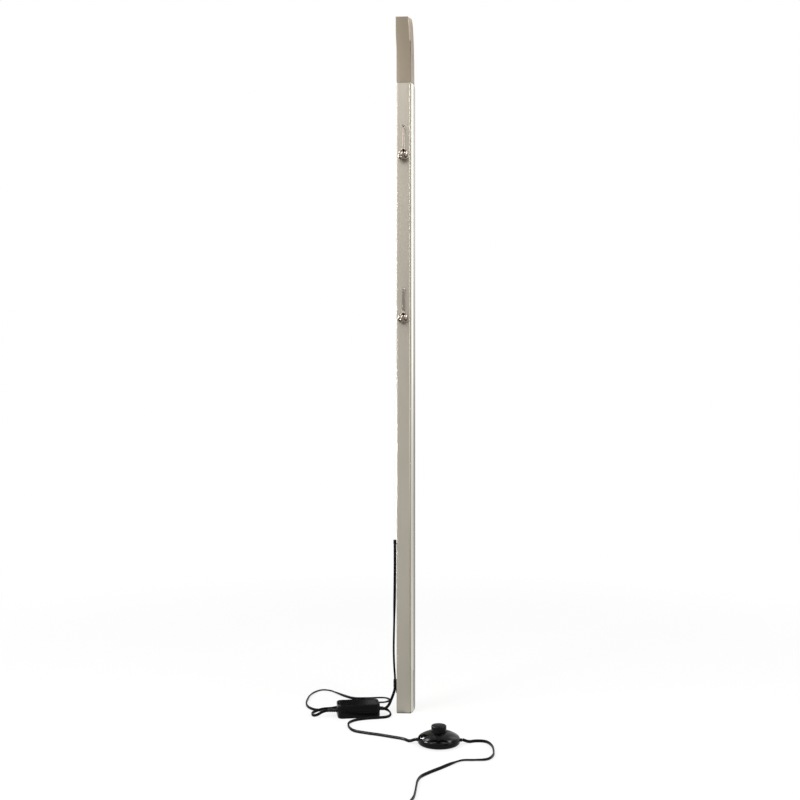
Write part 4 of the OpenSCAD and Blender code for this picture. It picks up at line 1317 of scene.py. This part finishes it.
class LAMP_OT_stage(LampOperator):
    """Sets the plain pale floor, the white surround and the soft studio light"""

    bl_idname = "lamp.stage"
    bl_label = "Stage"

    def execute(self, context):
        scene = context.scene
        scene.view_settings.view_transform = "Standard"
        floor = flat_sheet("floor", 30, 30)
        # A hair down, so that what lies on the floor does not share its level
        floor.location.z = -0.0002
        floor.data.materials.append(self.floor_finish())
        self.surround(scene)
        for lamp in LAMPS:
            area_lamp(*lamp)
        for sheet in CARDS:
            card(*sheet)
        return {"FINISHED"}

    def floor_finish(self):
        """Matt painted board near the lamp, which fades to plain white far away."""
        material = bpy.data.materials.new("matt_painted_board")
        tree = emptied(material)
        pale = (*colours().floor, 1)
        paint_layer = add_node(tree, "ShaderNodeBsdfDiffuse", inputs={"Color": pale})
        white = add_node(tree, "ShaderNodeEmission", inputs={"Color": WHITE, "Strength": 1})
        away = add_node(tree, "ShaderNodeVectorMath", {0: own_space(tree)}, operation="LENGTH")
        fade = mapped(
            tree, away.outputs["Value"], 0.7, 1.8, 0.75, 1.0, interpolation_type="SMOOTHSTEP",
        )
        share = reckoned(tree, "MULTIPLY", fade, seen_rays(tree))
        mix = mixed(tree, share, paint_layer, white)
        add_node(tree, "ShaderNodeOutputMaterial", {"Surface": mix})
        return material

    def surround(self, scene):
        """White where it is seen, and a calmer grey where it lights the object."""
        world = bpy.data.worlds.new("surround")
        scene.world = world
        tree = emptied(world)
        lit, seen = (
            add_node(tree, "ShaderNodeBackground", inputs={"Color": WHITE, "Strength": strength})
            for strength in (0.55, 1)
        )
        add_node(
            tree, "ShaderNodeOutputWorld", {"Surface": mixed(tree, seen_rays(tree), lit, seen)},
        )


OPERATORS = (
    LAMP_OT_camera, LAMP_OT_driver, LAMP_OT_foot_switch, LAMP_OT_plug, LAMP_OT_leads,
    LAMP_OT_column, LAMP_OT_head, LAMP_OT_drops, LAMP_OT_outlet, LAMP_OT_inner_parts, LAMP_OT_stage,
)


class LAMP_PT_panel(Panel):
    """Lists the lamp's sizes, colours and building steps"""

    bl_label = "Slim floor lamp"
    bl_idname = "LAMP_PT_panel"
    bl_space_type = "VIEW_3D"
    bl_region_type = "UI"
    bl_category = "Lamp"

    def draw(self, context):
        for group in (context.scene.lamp_sizes, context.scene.lamp_colours):
            column = self.layout.column(align=True)
            for key in group.bl_rna.properties.keys():
                if key not in ("rna_type", "name"):
                    column.prop(group, key)
        for operator in OPERATORS:
            self.layout.operator(operator.bl_idname)


CLASSES = (LampSizes, LampColours, *OPERATORS, LAMP_PT_panel)


def register():
    for cls in CLASSES:
        bpy.utils.register_class(cls)
    bpy.types.Scene.lamp_sizes = PointerProperty(type=LampSizes)
    bpy.types.Scene.lamp_colours = PointerProperty(type=LampColours)


def unregister():
    del bpy.types.Scene.lamp_colours
    del bpy.types.Scene.lamp_sizes
    for cls in reversed(CLASSES):
        bpy.utils.unregister_class(cls)


def main():
    """Builds the lamp in order."""
    register()
    for operator in OPERATORS:
        group, name = operator.bl_idname.split(".")
        getattr(getattr(bpy.ops, group), name)()


if __name__ == "__main__":
    main()
